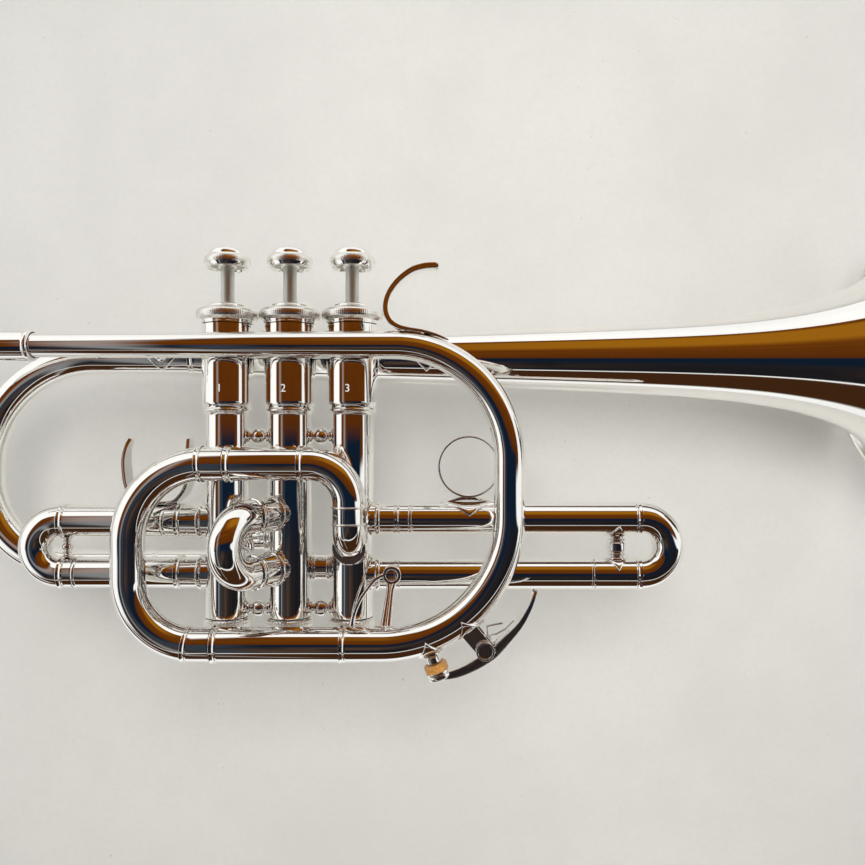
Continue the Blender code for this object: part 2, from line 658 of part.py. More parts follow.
def build_third_slide():
    """The third valve's long slide with its finger ring, drawn out towards the bell."""
    x = VALVE_X[3]
    bend = (THIRD_UPPER_Z - THIRD_LOWER_Z) / 2
    right = THIRD_CROOK_X + bend
    path = bent([(THIRD_UPPER_SEAM + 1.2, 0, THIRD_UPPER_Z), (right, 0, THIRD_UPPER_Z),
                 (right, 0, THIRD_LOWER_Z), (THIRD_LOWER_SEAM + 1.2, 0, THIRD_LOWER_Z)],
                [bend, bend], 4)
    legs = [[(x + 11.5, 0, THIRD_UPPER_Z), (THIRD_UPPER_SEAM + GAP, 0, THIRD_UPPER_Z)],
            [(THIRD_LOWER_SEAM + GAP, 0, THIRD_LOWER_Z), (70, 0, THIRD_LOWER_Z)]]
    ferrules = [(0, (146.0, 0, THIRD_UPPER_Z)), (-2, (146.0, 0, THIRD_LOWER_Z))]
    slide = build_crook("third_slide", legs, path, SLIDE_RADIUS, ferrules)
    brace = ball_spindle("third_slide_brace", (138.6, 0, THIRD_LOWER_Z + SLIDE_RADIUS - SOLDER),
                         (138.6, 0, THIRD_UPPER_Z - SLIDE_RADIUS + SOLDER), 4.4, 2.8, 4.0, SILVER)
    combine(slide, "UNION", [as_cutter(brace)])
    for label, height, seam in (("upper", THIRD_UPPER_Z, THIRD_UPPER_SEAM),
                                ("lower", THIRD_LOWER_Z, THIRD_LOWER_SEAM)):
        tube = sleeve(f"third_slide_tube_{label}", (x + 4, 0, height), (seam, 0, height),
                      SLIDE_RADIUS, SLIDE_RADIUS - SLIDE_WALL, SILVER,
                      [(seam - x - 4.7, 1.4, 7.0), (15.2, 2.6, FERRULE_RADIUS)])
        fit_to_casing(tube, 3)


build_main_slide()
build_first_slide()
build_second_slide()
build_third_slide()


def build_thumb_saddle():
    """The U-shaped thumb saddle that stands on the first slide's moving upper sleeve."""
    top = FIRST_UPPER_Z + SLIDE_RADIUS + GAP
    half = 12.9
    bottom = top + 1.1
    corners = [(-half + 0.9, 69.0), (-half - 0.9, 60.5), (-half + 0.4, bottom + 7),
               (-half + 3.6, bottom + 2.2), (-6, bottom), (6, bottom), (half - 2.6, bottom + 2.6),
               (half, bottom + 8), (half, 69.0)]
    outline = strip_outline([(SADDLE_X + u, v) for u, v in corners], [1.5] * len(corners))
    saddle = outline_plate("thumb_saddle", outline, 10.0, SILVER, (0, 0, 0), (1, 0, 0), (0, 0, 1))
    as_mesh(saddle)


def build_finger_ring():
    """The third slide's finger ring and the foot that it stands on."""
    profile = [(RING_RADIUS, 3.5), (RING_RADIUS, -3.5), (RING_RADIUS - 1.2, -3.5),
               (RING_RADIUS - 1.2, 3.5)]
    ring = as_mesh(turned("finger_ring", profile, SILVER, (RING_X, 0, RING_Z), LEFT, 24, True))
    top = THIRD_UPPER_Z + SLIDE_RADIUS + GAP
    foot_top = RING_Z - RING_RADIUS + 0.9
    outline = [(RING_X - 12.6, top + 0.1), (RING_X + 12.0, top + 0.1), (RING_X + 4, foot_top),
               (RING_X - 4, foot_top)]
    foot = outline_plate("finger_ring_foot", outline[::-1], 5.6, SILVER, (0, 0, 0), (1, 0, 0),
                         (0, 0, 1))
    combine(ring, "UNION", [as_cutter(foot)])


build_thumb_saddle()
build_finger_ring()


# Bell and bell bow ---------------------------------------------------------------------------
def bell_radius(x):
    """The bell's outer radius: a slow cone that flares out towards the rim."""
    cone = 7.8 + 6.4 * (x - BELL_TAIL_X) / (118.0 - BELL_TAIL_X)
    flare = BESSEL_SIZE * (BESSEL_MOUTH - x) ** -BESSEL_POWER
    return max(cone, flare) if x < 118.0 else max(flare, cone * 0.98)


BESSEL_MOUTH = 298.4
BESSEL_POWER = 0.70
BESSEL_SIZE = BELL_RIM_RADIUS * (BESSEL_MOUTH - BELL_RIM_X) ** BESSEL_POWER


def build_bell():
    """The bell: a thin flared shell with a wired rim."""
    stations = [BELL_TAIL_X, 40.0, 118.0, 158.0, 190.0, 214.0, 233.0, 247.0, 258.0, 266.0,
                271.5, 274.8]
    outside = [(bell_radius(x), x) for x in stations]
    inside = []
    for radius, x in outside:
        slope = bell_radius(x + 0.5) - bell_radius(x - 0.5)
        length = math.hypot(1.0, slope)
        inside.append((radius - BELL_WALL / length, x + BELL_WALL * slope / length))
    rim = [(BELL_RIM_RADIUS - 1.2, BELL_RIM_X), (BELL_RIM_RADIUS - 0.2, BELL_RIM_X),
           (BELL_RIM_RADIUS, BELL_RIM_X - 1.0), (BELL_RIM_RADIUS - 0.8, BELL_RIM_X - 2.1)]
    turned("bell", rim + outside[::-1] + inside, SILVER, (0, BELL_Y, BELL_Z), FRONT, 24, True)


def build_bell_bow():
    """The rear bell bow, from the bell's tail round and into the first valve."""
    x = VALVE_X[1]
    corners = [(BELL_TAIL_X - GAP, BELL_Y, BELL_Z), (BOW_LEFT_X, BELL_Y, BELL_Z),
               (BOW_LEFT_X, BELL_Y, BOW_LOWER_Z), (x, BELL_Y, BOW_LOWER_Z), (x, 4, BOW_LOWER_Z)]
    path = bent(corners, [BOW_UPPER_BEND, BOW_LOWER_BEND, 12.0], 6)
    radii = [7.8 - 1.1 * i / (len(path) - 1) for i in range(len(path))]
    fit_to_casing(swept("bell_bow", path, radii, SILVER, 0.6), 1)


def build_bell_braces():
    """The two braces that tie the leadpipe to the bell."""
    for name, x, bell_side, pipe_side in (("bell_brace_front", 58.0, bell_radius(58.0) + GAP, 6.2),
                                          ("bell_brace_rear", -60.0, 8.2, 5.6)):
        ball_spindle(name, (x, PIPE_Y + pipe_side, PIPE_Z - 0.6),
                     (x, BELL_Y - bell_side, PIPE_Z - 0.6), 3.4, 1.9, 3.2, SILVER)


def build_lower_brace():
    """The forked brace: an eye on the third valve's lower tube and two struts to the lower leg."""
    x, y, height = LEG_BRACE_EYE
    section = [(4.0, 0), (3.7, 0.65), (3.0, 0.85), (2.3, 0.65), (2.0, 0), (2.3, -0.65), (3.0, -0.85),
               (3.7, -0.65)]
    eye = as_mesh(turned("lower_leg_brace", section, SILVER, LEG_BRACE_EYE, LEFT, 12, True))
    straight = [(x - 0.1, y, height - 2.9), (x - 1.0, y - 2.6, height - 9.4), (41.6, -14.4, -6.9)]
    curved = [(x - 2.9, y, height - 0.1), (36.5, -9.4, 10.4), (31.5, -11.2, 4.0),
              (28.6, -12.2, -2.4), (27.6, -12.8, -7.3)]
    struts = [swept("lower_leg_brace_straight", straight, [1.4, 1.7, 1.9], SILVER, sides=8),
              swept("lower_leg_brace_curved", curved, [0.9, 0.8, 0.8, 0.8, 1.1], SILVER, sides=8)]
    combine(eye, "UNION", [as_cutter(as_mesh(strut)) for strut in struts])


build_bell()
build_bell_bow()
build_bell_braces()
build_lower_brace()


# Finger hook ---------------------------------------------------------------------------------
def build_finger_hook():
    """The little-finger hook on the leadpipe: a flat strip in a hook shape."""
    centreline = [(61.8, 138.4), (57.0, 138.0), (51.8, 136.2), (46.4, 131.9), (42.8, 126.4),
                  (41.8, 120.9), (43.4, 116.4), (46.8, 114.1)]
    widths = [2.6, 2.4, 2.4, 2.4, 2.4, 2.4, 2.2, 1.8]
    bend_centre_x = FRONT_BOW_X - FRONT_BOW_UPPER_BEND
    bend_centre_z = PIPE_Z - FRONT_BOW_UPPER_BEND
    foot_radius = FRONT_BOW_UPPER_BEND + 5.8 + GAP + 0.7
    for degrees in (7.5, 13.0, 18.5, 24.0):
        turn = math.radians(degrees)
        centreline.append((bend_centre_x + foot_radius * math.sin(turn),
                           bend_centre_z + foot_radius * math.cos(turn)))
        widths.append(1.2)
    outline = strip_outline(centreline, widths)
    hook = outline_plate("finger_hook", outline, 7.0, SILVER, (0, PIPE_Y, 0), (1, 0, 0), (0, 0, 1))
    as_mesh(hook)


build_finger_hook()


# Water key ------------------------------------------------------------------------------------
def build_water_key():
    """The water key: nipple, cork, saddle, lever with its arms, pivot screw and spring."""
    bore = Vector((math.sin(math.radians(KEY_BORE_ANGLE)), 0,
                   -math.cos(math.radians(KEY_BORE_ANGLE))))
    foot = Vector(key_point(KEY_BORE_ANGLE, KEY_TUBE_OUTSIDE + GAP))
    nipple = [(3.4, 3.6), (3.4, 3.0), (2.8, 2.7), (2.9, 1.3), (5.2, 1.0), (5.4, 0), (1.6, 0),
              (1.6, 3.6)]
    turned("water_key_nipple", nipple, SILVER, foot, bore, 14, True)
    pad = foot + bore * (3.6 + GAP)
    turned("water_key_cork", [(0, 2.7), (3.9, 2.7), (4.2, 2.1), (4.2, 0.2), (3.9, 0), (0, 0)],
           CORK, pad, bore, 14)

    reaches = [(14.0, 9.1), (20.0, 9.4), (27.0, 10.6), (34.0, 11.0)]
    path = [key_point(angle, KEY_TUBE_OUTSIDE + reach) for angle, reach in reaches]
    path += [(83.6, PIPE_Y, -16.2), (90.2, PIPE_Y, -10.6), (96.2, PIPE_Y, -4.0),
             (KEY_TIP[0], PIPE_Y, KEY_TIP[1])]
    flat = [(point[0], point[2]) for point in path]
    widths = [3.0, 3.4, 4.4, 5.0, 5.0, 3.4, 2.4, 1.3]
    outline = strip_outline(flat, widths)
    lever = outline_plate("water_key_lever", outline, 5.0, SILVER, (0, PIPE_Y, 0), (1, 0, 0),
                          (0, 0, 1))
    lever = as_mesh(lever)
    pivot = Vector((KEY_PIVOT[0], PIPE_Y, KEY_PIVOT[1]))
    boss = rod("water_key_boss", pivot - LEFT * 2.7, pivot + LEFT * 2.7, 2.9, SILVER, 12)
    combine(lever, "UNION", [as_cutter(boss)])
    hole = rod("water_key_pivot_hole", pivot - LEFT * 8, pivot + LEFT * 8, 1.4, SILVER, 12)
    hole = as_cutter(hole)
    combine(lever, "DIFFERENCE", [hole])

    saddle_foot = Vector(key_point(KEY_SADDLE_ANGLE, KEY_TUBE_OUTSIDE + GAP))
    outward = Vector((math.sin(math.radians(KEY_SADDLE_ANGLE)), 0,
                      -math.cos(math.radians(KEY_SADDLE_ANGLE))))
    along = outward.cross(LEFT)
    reach = pivot - saddle_foot
    reach_out = reach.dot(outward)
    reach_along = reach.dot(along)
    ear = [(-4.0, 0.0), (4.0, 0.0), (reach_along + 2.3, reach_out - 0.6),
           (reach_along + 1.4, reach_out + 2.0), (reach_along - 1.4, reach_out + 2.0),
           (reach_along - 2.3, reach_out - 0.6)]
    ears = []
    for label, side in (("left", 3.6), ("right", -3.6)):
        base = saddle_foot + LEFT * side
        plate = outline_plate(f"water_key_ear_{label}", ear, 1.2, SILVER, base, along, outward)
        ears.append(as_cutter(plate))
    base = [(-5.2, 0.0), (5.2, 0.0), (5.2, 0.9), (-5.2, 0.9)]
    saddle = outline_plate("water_key_saddle", base, 9.0, SILVER, saddle_foot, along, outward)
    saddle = as_mesh(saddle)
    combine(saddle, "UNION", ears)
    combine(saddle, "DIFFERENCE", [hole])
    turned("water_key_screw", [(0, 11.0), (1.1, 11.0), (1.1, 1.6), (2.9, 1.6), (2.9, 0.4),
                               (2.4, 0), (0, 0)],
           STEEL, pivot - LEFT * 6.2, LEFT, 12)

    coil = []
    steps = 8
    for i in range(2 * steps + 1):
        angle = 2 * math.pi * i / steps
        coil.append((pivot.x + 3.6 * math.cos(angle), PIPE_Y + 5.2 + 1.6 * i / (2 * steps),
                     pivot.z + 3.6 * math.sin(angle)))
    as_mesh(swept("water_key_spring", coil, [0.35] * len(coil), STEEL, sides=4))


build_water_key()


# Placing and shading -----------------------------------------------------------------------------
def hang_on_frame():
    """Hang every part and cutter on one empty, which sets the height above the origin."""
    frame = bpy.data.objects.new("cornet_frame", None)
    frame.location = metres((0, 0, BASE_HEIGHT))
    things = list(PARTS.objects) + list(CUTTERS.objects)
    PARTS.objects.link(frame)
    for thing in things:
        thing.parent = frame


def shade_round_parts():
    """Smooth shading, with the sharp edges kept."""
    for thing in PARTS.objects:
        if thing.type == "MESH" and thing.data.polygons:
            thing.data.shade_smooth()
            thing.data.set_sharp_from_angle(angle=math.radians(35))


hang_on_frame()
shade_round_parts()
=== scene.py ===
"""The finished look of a B-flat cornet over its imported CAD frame.

Every visible part is rebuilt with smooth turned and swept metal work at the CAD part's own
size and place, and rides on the CAD body that it belongs to. Lengths in the constants and
shapes are millimetres, with heights counted from BASE_HEIGHT above the frame's origin.
"""
import json
import math

import bpy
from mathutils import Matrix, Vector

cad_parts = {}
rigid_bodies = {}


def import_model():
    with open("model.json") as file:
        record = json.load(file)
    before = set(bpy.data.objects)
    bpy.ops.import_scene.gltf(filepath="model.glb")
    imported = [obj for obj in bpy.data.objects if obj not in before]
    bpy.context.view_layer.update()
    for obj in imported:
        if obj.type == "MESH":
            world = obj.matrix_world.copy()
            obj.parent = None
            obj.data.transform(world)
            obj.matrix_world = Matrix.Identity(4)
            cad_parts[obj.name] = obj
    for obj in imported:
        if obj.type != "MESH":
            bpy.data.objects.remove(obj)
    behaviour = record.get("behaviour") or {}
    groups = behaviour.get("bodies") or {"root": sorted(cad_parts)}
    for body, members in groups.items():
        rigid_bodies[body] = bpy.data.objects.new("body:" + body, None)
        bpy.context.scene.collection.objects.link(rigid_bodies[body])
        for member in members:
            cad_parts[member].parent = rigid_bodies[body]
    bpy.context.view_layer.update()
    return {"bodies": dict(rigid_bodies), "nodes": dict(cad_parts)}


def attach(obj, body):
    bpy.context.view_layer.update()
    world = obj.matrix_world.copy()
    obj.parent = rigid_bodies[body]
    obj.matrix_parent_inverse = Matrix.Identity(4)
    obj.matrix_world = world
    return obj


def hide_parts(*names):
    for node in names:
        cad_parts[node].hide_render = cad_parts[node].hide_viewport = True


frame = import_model()

# Dimensions ----------------------------------------------------------------------------------
MM = 0.001
BASE_HEIGHT = 11.8
VALVE_SPACING = 26.5
VALVE_X = {1: -VALVE_SPACING, 2: 0.0, 3: VALVE_SPACING}
CASING_TOP = 117.0
CASING_BOTTOM = -6.0
BALUSTER_BOTTOM = 80.3
CASING_RADIUS = 9.2
BALUSTER_RADIUS = 10.8
BORE_RADIUS = 8.5
PISTON_TOP = 66.0
STEM_RADIUS = 2.9
FLANGE_BOTTOM = 98.5
FLANGE_TOP = 100.3
BUTTON_UNDERSIDE = 141.2
BUTTON_TOP = 149.0
GUIDE_TOP = 69.4
DIGIT_HEIGHT = 88.4
DIGIT_OFFSETS = {1: 0.6, 2: 0.8, 3: 0.9}
GAP = 0.3

# Tubes
SLIDE_RADIUS = 6.6
MAIN_SLIDE_RADIUS = 6.8
LEG_RADIUS = 5.72

# Leadpipe and front bow
PIPE_Y = -17.5
PIPE_Z = 106.8
PIPE_RIGHT = 43.0
RECEIVER_LEFT = -152.0
RECEIVER_RIGHT = -99.7
FRONT_BOW_X = 91.6
FRONT_BOW_UPPER_BEND = 46.0
FRONT_BOW_LOWER_BEND = 51.6
LOWER_LEG_Z = -13.7
FRONT_BOW_END = 26.2

# Main slide and the drop into the third valve
MAIN_UPPER_Z = 59.0
MAIN_LEFT_X = -62.0
MAIN_UPPER_SEAM = -22.7
MAIN_LOWER_SEAM = -27.9
MAIN_UPPER_END = 9.4
DROP_X = 27.0
INLET_Z = 25.0

# First slide
FIRST_UPPER_Z = 34.2
FIRST_LOWER_Z = 12.2
FIRST_CROOK_X = -97.3
SADDLE_X = -55.7

# Second slide
SECOND_UPPER_Z = 38.0
SECOND_LOWER_Z = 15.2
SECOND_AWAY = Vector((-math.sin(math.radians(33.0)), -math.cos(math.radians(33.0)), 0))
SECOND_SEAM = 21.8
SECOND_CROOK = 24.6

# Third slide
THIRD_UPPER_Z = 35.0
THIRD_LOWER_Z = 11.6
THIRD_CROOK_X = 149.0
RING_X = 76.0
RING_Z = 57.2
RING_RADIUS = 13.2

# Crossovers, bell and rear bow
CROSSOVER_Y = 3.2
BELL_Y = 22.0
BELL_Z = 105.3
BELL_TAIL_X = -45.0
BELL_RIM_X = 278.0
BELL_RIM_RADIUS = 59.5
BELL_WALL = 0.6
BOW_LEFT_X = -142.0
BOW_LOWER_Z = 11.5
LEG_BRACE_EYE = Vector((43.7, -8.5, 12.5))

# Water key
KEY_CENTRE = (FRONT_BOW_X - FRONT_BOW_LOWER_BEND, LOWER_LEG_Z + FRONT_BOW_LOWER_BEND)
KEY_BORE_ANGLE = 20.0
KEY_SADDLE_ANGLE = 38.0
KEY_TUBE_OUTSIDE = FRONT_BOW_LOWER_BEND + 6.9
KEY_PIVOT = Vector((81.4, PIPE_Y, -14.8))

# Smoothness
SIDES = 56
ARC_STEP = math.radians(3.0)
SHARP_ANGLE = math.radians(38.0)

FRONT = Vector((1, 0, 0))
LEFT = Vector((0, 1, 0))
UP = Vector((0, 0, 1))


# Node materials --------------------------------------------------------------------------------
class Nodes:
    """A short way to build a node tree."""

    def __init__(self, owner):
        owner.use_nodes = True
        self.tree = owner.node_tree
        self.tree.nodes.clear()

    def add(self, kind, **inputs):
        """A node; inputs are values, or sockets to link. An underscore stands for a space."""
        node = self.tree.nodes.new(kind)
        for key, value in inputs.items():
            self.set(node, key.replace("_", " "), value)
        return node

    def set(self, node, key, value):
        """Fill one input, by name or by number."""
        socket = node.inputs[key]
        if isinstance(value, bpy.types.NodeSocket):
            self.tree.links.new(value, socket)
        else:
            socket.default_value = value

    def math(self, operation, *values):
        """A Math node's result."""
        node = self.tree.nodes.new("ShaderNodeMath")
        node.operation = operation
        for i, value in enumerate(values):
            self.set(node, i, value)
        return node.outputs[0]

    def times(self, first, second):
        """A product."""
        return self.math("MULTIPLY", first, second)

    def plus(self, first, second):
        """A sum."""
        return self.math("ADD", first, second)

    def minus(self, first, second):
        """A difference."""
        return self.math("SUBTRACT", first, second)

    def remap(self, value, low, high, new_low=0.0, new_high=1.0):
        """A value moved smoothly from one range to another, and held there."""
        node = self.tree.nodes.new("ShaderNodeMapRange")
        node.interpolation_type = "SMOOTHSTEP"
        for i, number in enumerate((value, low, high, new_low, new_high)):
            self.set(node, i, number)
        return node.outputs[0]

    def mix(self, factor, first, second):
        """A mix of two colours, which are a Mix node's sockets 6 and 7."""
        node = self.tree.nodes.new("ShaderNodeMix")
        node.data_type = "RGBA"
        self.set(node, 0, factor)
        self.set(node, 6, first)
        self.set(node, 7, second)
        return node.outputs[2]

    def noise(self, vector, scale, detail=3.0, roughness=0.5):
        """A noise texture's value."""
        node = self.add("ShaderNodeTexNoise", Vector=vector, Scale=scale, Detail=detail,
                        Roughness=roughness)
        return node.outputs[0]

    def stretched(self, vector, scale):
        """Coordinates scaled differently along each axis."""
        return self.add("ShaderNodeMapping", Vector=vector, Scale=scale).outputs[0]

    def bump(self, height, distance, strength=1.0, **inputs):
        """A bumped normal."""
        return self.add("ShaderNodeBump", Strength=strength, Distance=distance, Height=height,
                        **inputs).outputs[0]

    def blend(self, factor, first, second):
        """A mix of two shaders."""
        node = self.add("ShaderNodeMixShader")
        for i, value in enumerate((factor, first.outputs[0], second.outputs[0])):
            self.set(node, i, value)
        return node.outputs[0]


def rgb(red, green, blue):
    """An opaque colour."""
    return (red, green, blue, 1.0)


def shaded(colour, share):
    """A colour darkened to a share of itself, opaque."""
    return rgb(*(channel * share for channel in colour))


def new_material(name):
    """An empty node material, with its tree and its object coordinates."""
    material = bpy.data.materials.new(name)
    nodes = Nodes(material)
    return material, nodes, nodes.add("ShaderNodeTexCoord").outputs["Object"]


HAND_POLISH = (5200.0, 900.0, 2600.0)
HAND_POLISH_DEPTH = 0.0000004
WAVE_DEPTH = 0.00001


def metal(name, bright, dull, smooth, rough, grain=HAND_POLISH, grain_depth=HAND_POLISH_DEPTH):
    """Polished or brushed metal: cloudy sheen, hand-polished waviness and a fine grain."""
    material, nodes, place = new_material(name)
    cloud = nodes.noise(place, 70.0, 4.0, 0.6)
    wipe = nodes.noise(nodes.stretched(place, (900.0, 260.0, 420.0)), 1.0, 2.0)
    stain = nodes.remap(nodes.noise(place, 210.0, 5.0, 0.65), 0.56, 0.74)
    colour = nodes.mix(nodes.times(stain, 0.5), rgb(*bright), rgb(*dull))
    haze = nodes.plus(nodes.remap(cloud, 0.38, 0.72, 0.0, 0.75), nodes.times(wipe, 0.25))
    roughness = nodes.plus(smooth, nodes.times(haze, rough - smooth))
    ripple = nodes.bump(nodes.noise(place, 130.0, 1.0), WAVE_DEPTH)
    scratches = nodes.noise(nodes.stretched(place, grain), 1.0, 3.0, 0.7)
    bump = nodes.bump(scratches, grain_depth, Normal=ripple)
    shader = nodes.add("ShaderNodeBsdfPrincipled", Base_Color=colour, Metallic=1.0,
                       Roughness=roughness, Normal=bump)
    nodes.add("ShaderNodeOutputMaterial", Surface=shader.outputs[0])
    return material


def soft_solid(name, pale, dark, scale, roughness, depth, sheen=0.0, coat=0.0):
    """Cork, felt, nylon or pearl: mottled colour over a fine bump."""
    material, nodes, place = new_material(name)
    mottle = nodes.noise(place, scale, 5.0, 0.65)
    cells = nodes.add("ShaderNodeTexVoronoi", Vector=place, Scale=scale * 1.4).outputs[0]
    pores = nodes.remap(cells, 0.10, 0.32, 1.0, 0.0)
    colour = nodes.mix(nodes.remap(mottle, 0.35, 0.68), rgb(*pale), rgb(*dark))
    colour = nodes.mix(nodes.times(pores, 0.6), colour, shaded(dark, 0.45))
    height = nodes.minus(mottle, nodes.times(pores, 0.6))
    bump = nodes.bump(height, depth, 0.8)
    shader = nodes.add("ShaderNodeBsdfPrincipled", Base_Color=colour, Normal=bump,
                       Roughness=nodes.remap(mottle, 0.3, 0.7, roughness * 0.8, roughness),
                       Sheen_Weight=sheen, Coat_Weight=coat)
    nodes.add("ShaderNodeOutputMaterial", Surface=shader.outputs[0])
    return material


SILVER = metal("polished_silver_plate", (0.985, 0.975, 0.95), (0.90, 0.87, 0.80), 0.018, 0.075)
FROSTED = metal("knurled_silver_plate", (0.93, 0.92, 0.88), (0.72, 0.69, 0.62), 0.20, 0.34,
                (9000.0, 9000.0, 9000.0), 0.000012)
DIGIT = soft_solid("frosted_engraving", (0.93, 0.93, 0.91), (0.82, 0.82, 0.80), 3000.0, 0.60,
                   0.00001)
NICKEL = metal("brushed_nickel", (0.72, 0.75, 0.71), (0.48, 0.50, 0.47), 0.46, 0.60,
               (500.0, 500.0, 16000.0), 0.000004)
MONEL = metal("ground_monel", (0.66, 0.63, 0.57), (0.50, 0.47, 0.41), 0.16, 0.32,
              (600.0, 600.0, 14000.0), 0.000003)
STEEL = metal("spring_steel", (0.90, 0.89, 0.87), (0.70, 0.68, 0.64), 0.05, 0.14,
              (4000.0, 4000.0, 4000.0), 0.000004)
CORK = soft_solid("amber_cork", (0.72, 0.36, 0.09), (0.46, 0.19, 0.035), 900.0, 0.42, 0.0001,
                  coat=0.35)
FELT = soft_solid("wool_felt", (0.80, 0.78, 0.66), (0.62, 0.60, 0.46), 2600.0, 0.95, 0.0002,
                  sheen=0.6)
NYLON = soft_solid("moulded_nylon", (0.88, 0.87, 0.82), (0.80, 0.78, 0.71), 700.0, 0.40, 0.00002)
PEARL = soft_solid("mother_of_pearl", (0.90, 0.91, 0.89), (0.72, 0.78, 0.80), 260.0, 0.16,
                   0.000005, coat=0.8)


# Shape builders --------------------------------------------------------------------------------
class Shape:
    """Points in millimetres and faces, gathered before they become one mesh."""

    def __init__(self):
        self.points = []
        self.faces = []
        self.finishes = []

    def add(self, points, faces, finishes=None):
        """Take in more points and faces; finishes are material numbers, one for each face."""
        start = len(self.points)
        self.points += points
        self.faces += [[start + i for i in face] for face in faces]
        self.finishes += finishes or [0] * len(faces)
        return self

    def join(self, *others):
        """Take in other shapes."""
        for other in others:
            self.add(other.points, other.faces, other.finishes)
        return self


def loft(rings, loop=False, capped=True):
    """A skin over rings of points, closed back to the first ring or capped at its ends."""
    sides = len(rings[0])
    points = [point for ring in rings for point in ring]
    faces = []
    spans = len(rings) if loop else len(rings) - 1
    for i in range(spans):
        low = i * sides
        high = (i + 1) % len(rings) * sides
        for k in range(sides):
            following = (k + 1) % sides
            faces.append([low + k, low + following, high + following, high + k])
    if capped and not loop:
        faces.append(list(range(sides))[::-1])
        faces.append(list(range(len(points) - sides, len(points))))
    return Shape().add(points, faces)


def soften(profile, size, ring=False, steps=4):
    """Round the corners of a profile, with a point beside each so that long sides stay true."""
    count = len(profile)
    rounded = []
    for i, corner in enumerate(profile):
        here = Vector(corner)
        if not ring and i in (0, count - 1):
            rounded.append(here)
            continue
        before = Vector(profile[i - 1]) - here
        after = Vector(profile[(i + 1) % count]) - here
        start = here + before.normalized() * min(size, before.length * 0.45)
        end = here + after.normalized() * min(size, after.length * 0.45)
        if before.length > 3 * size + 1:
            rounded.append(start + before.normalized() * 0.3)
        for k in range(steps + 1):
            t = k / steps
            rounded.append(start * (1 - t) ** 2 + here * 2 * t * (1 - t) + end * t ** 2)
        if after.length > 3 * size + 1:
            rounded.append(end + after.normalized() * 0.3)
    return rounded


def split_long(profile, spacing):
    """Add points along a profile so that no step is longer than the spacing."""
    result = [Vector(profile[0])]
    for corner in profile[1:]:
        last = result[-1]
        count = max(1, math.ceil((Vector(corner) - last).length / spacing))
        for k in range(1, count + 1):
            result.append(last.lerp(Vector(corner), k / count))
    return result


def ridge(knurl, radius, height, angle):
    """How far a knurl's diamonds stand out at a place; a knurl is (low, high, depth, teeth)."""
    low, high, depth, teeth = knurl
    if not low < height < high:
        return 0.0
    slant = (height - low) * teeth / radius / 2
    ridges = math.sin(angle * teeth / 2 + slant) * math.sin(angle * teeth / 2 - slant)
    return depth * (ridges if ridges > 0 else 0.3 * ridges)


def lathe(profile, base, axis=UP, sides=SIDES, ring=False, knurl=None):
    """A turned body: (radius, height) down its outer side; a ring profile closes on itself."""
    axis = Vector(axis).normalized()
    across = axis.orthogonal().normalized()
    around = axis.cross(across)
    base = Vector(base)
    rings = []
    for radius, height in profile[::-1]:
        circle = []
        for k in range(sides):
            angle = 2 * math.pi * k / sides
            reach = radius + (ridge(knurl, radius, height, angle) if knurl else 0.0)
            circle.append(base + axis * height
                          + (across * math.cos(angle) + around * math.sin(angle)) * reach)
        rings.append(circle)
    shape = loft(rings, loop=ring)
    if knurl:
        heights = [height for _, height in profile[::-1]]
        for i in range(len(rings) if ring else len(rings) - 1):
            middle = (heights[i] + heights[(i + 1) % len(heights)]) / 2
            if knurl[0] < middle < knurl[1]:
                shape.finishes[i * sides:(i + 1) * sides] = [1] * sides
    return shape


def bent(corners, bends):
    """A path through corners, each inner corner rounded to its bend radius."""
    corners = [Vector(corner) for corner in corners]
    path = [corners[0]]
    for before, corner, after, bend in zip(corners, corners[1:], corners[2:], bends):
        inward = (before - corner).normalized()
        outward = (after - corner).normalized()
        half = inward.angle(outward) / 2
        centre = corner + (inward + outward).normalized() * (bend / math.sin(half))
        start = corner + inward * (bend / math.tan(half)) - centre
        end = corner + outward * (bend / math.tan(half)) - centre
        sweep = start.angle(end)
        steps = math.ceil(sweep / ARC_STEP)
        for i in range(steps + 1):
            turn = sweep * i / steps
            blend = start * math.sin(sweep - turn) + end * math.sin(turn)
            path.append(centre + blend / math.sin(sweep))
    path.append(corners[-1])
    return [path[0]] + [point for last, point in zip(path, path[1:])
                        if (point - last).length > 0.001]


def guarded(path):
    """A path with an extra point near both ends of each long step, so its shading stays true."""
    result = [path[0]]
    for before, after in zip(path, path[1:]):
        if (after - before).length > 4.0:
            step = (after - before).normalized() * 0.4
            result += [before + step, after - step]
        result.append(after)
    return result


def distances(path):
    """How far along a path each of its points lies."""
    total = 0.0
    result = [0.0]
    for before, after in zip(path, path[1:]):
        total += (after - before).length
        result.append(total)
    return result


def point_at(path, lengths, distance):
    """The point at a distance along a path."""
    for i in range(len(path) - 1):
        if distance <= lengths[i + 1] or i == len(path) - 2:
            share = (distance - lengths[i]) / (lengths[i + 1] - lengths[i])
            return path[i].lerp(path[i + 1], share)


def nearest(path, lengths, target):
    """The distance along a path of its nearest place to a point."""
    best = (math.inf, 0.0)
    for i in range(len(path) - 1):
        step = path[i + 1] - path[i]
        share = max(0.0, min(1.0, (target - path[i]).dot(step) / step.length_squared))
        gap = (path[i] + step * share - target).length
        best = min(best, (gap, lengths[i] + share * step.length))
    return best[1]


def beads(width, rise, waist=0.45):
    """A ferrule's outline: two rounded beads with a lower waist between them."""
    count = 18
    result = [(-width / 2 - 0.02, 0.0)]
    for i in range(count + 1):
        t = i / count
        edge = math.sqrt(max(0.0, 1 - (2 * t - 1) ** 12))
        dip = math.cos(math.pi * 2 * (t - 0.5)) * 0.5 + 0.5
        result.append(((t - 0.5) * width, rise * edge * (1 - (1 - waist) * dip ** 1.5)))
    result.append((width / 2 + 0.02, 0.0))
    return result


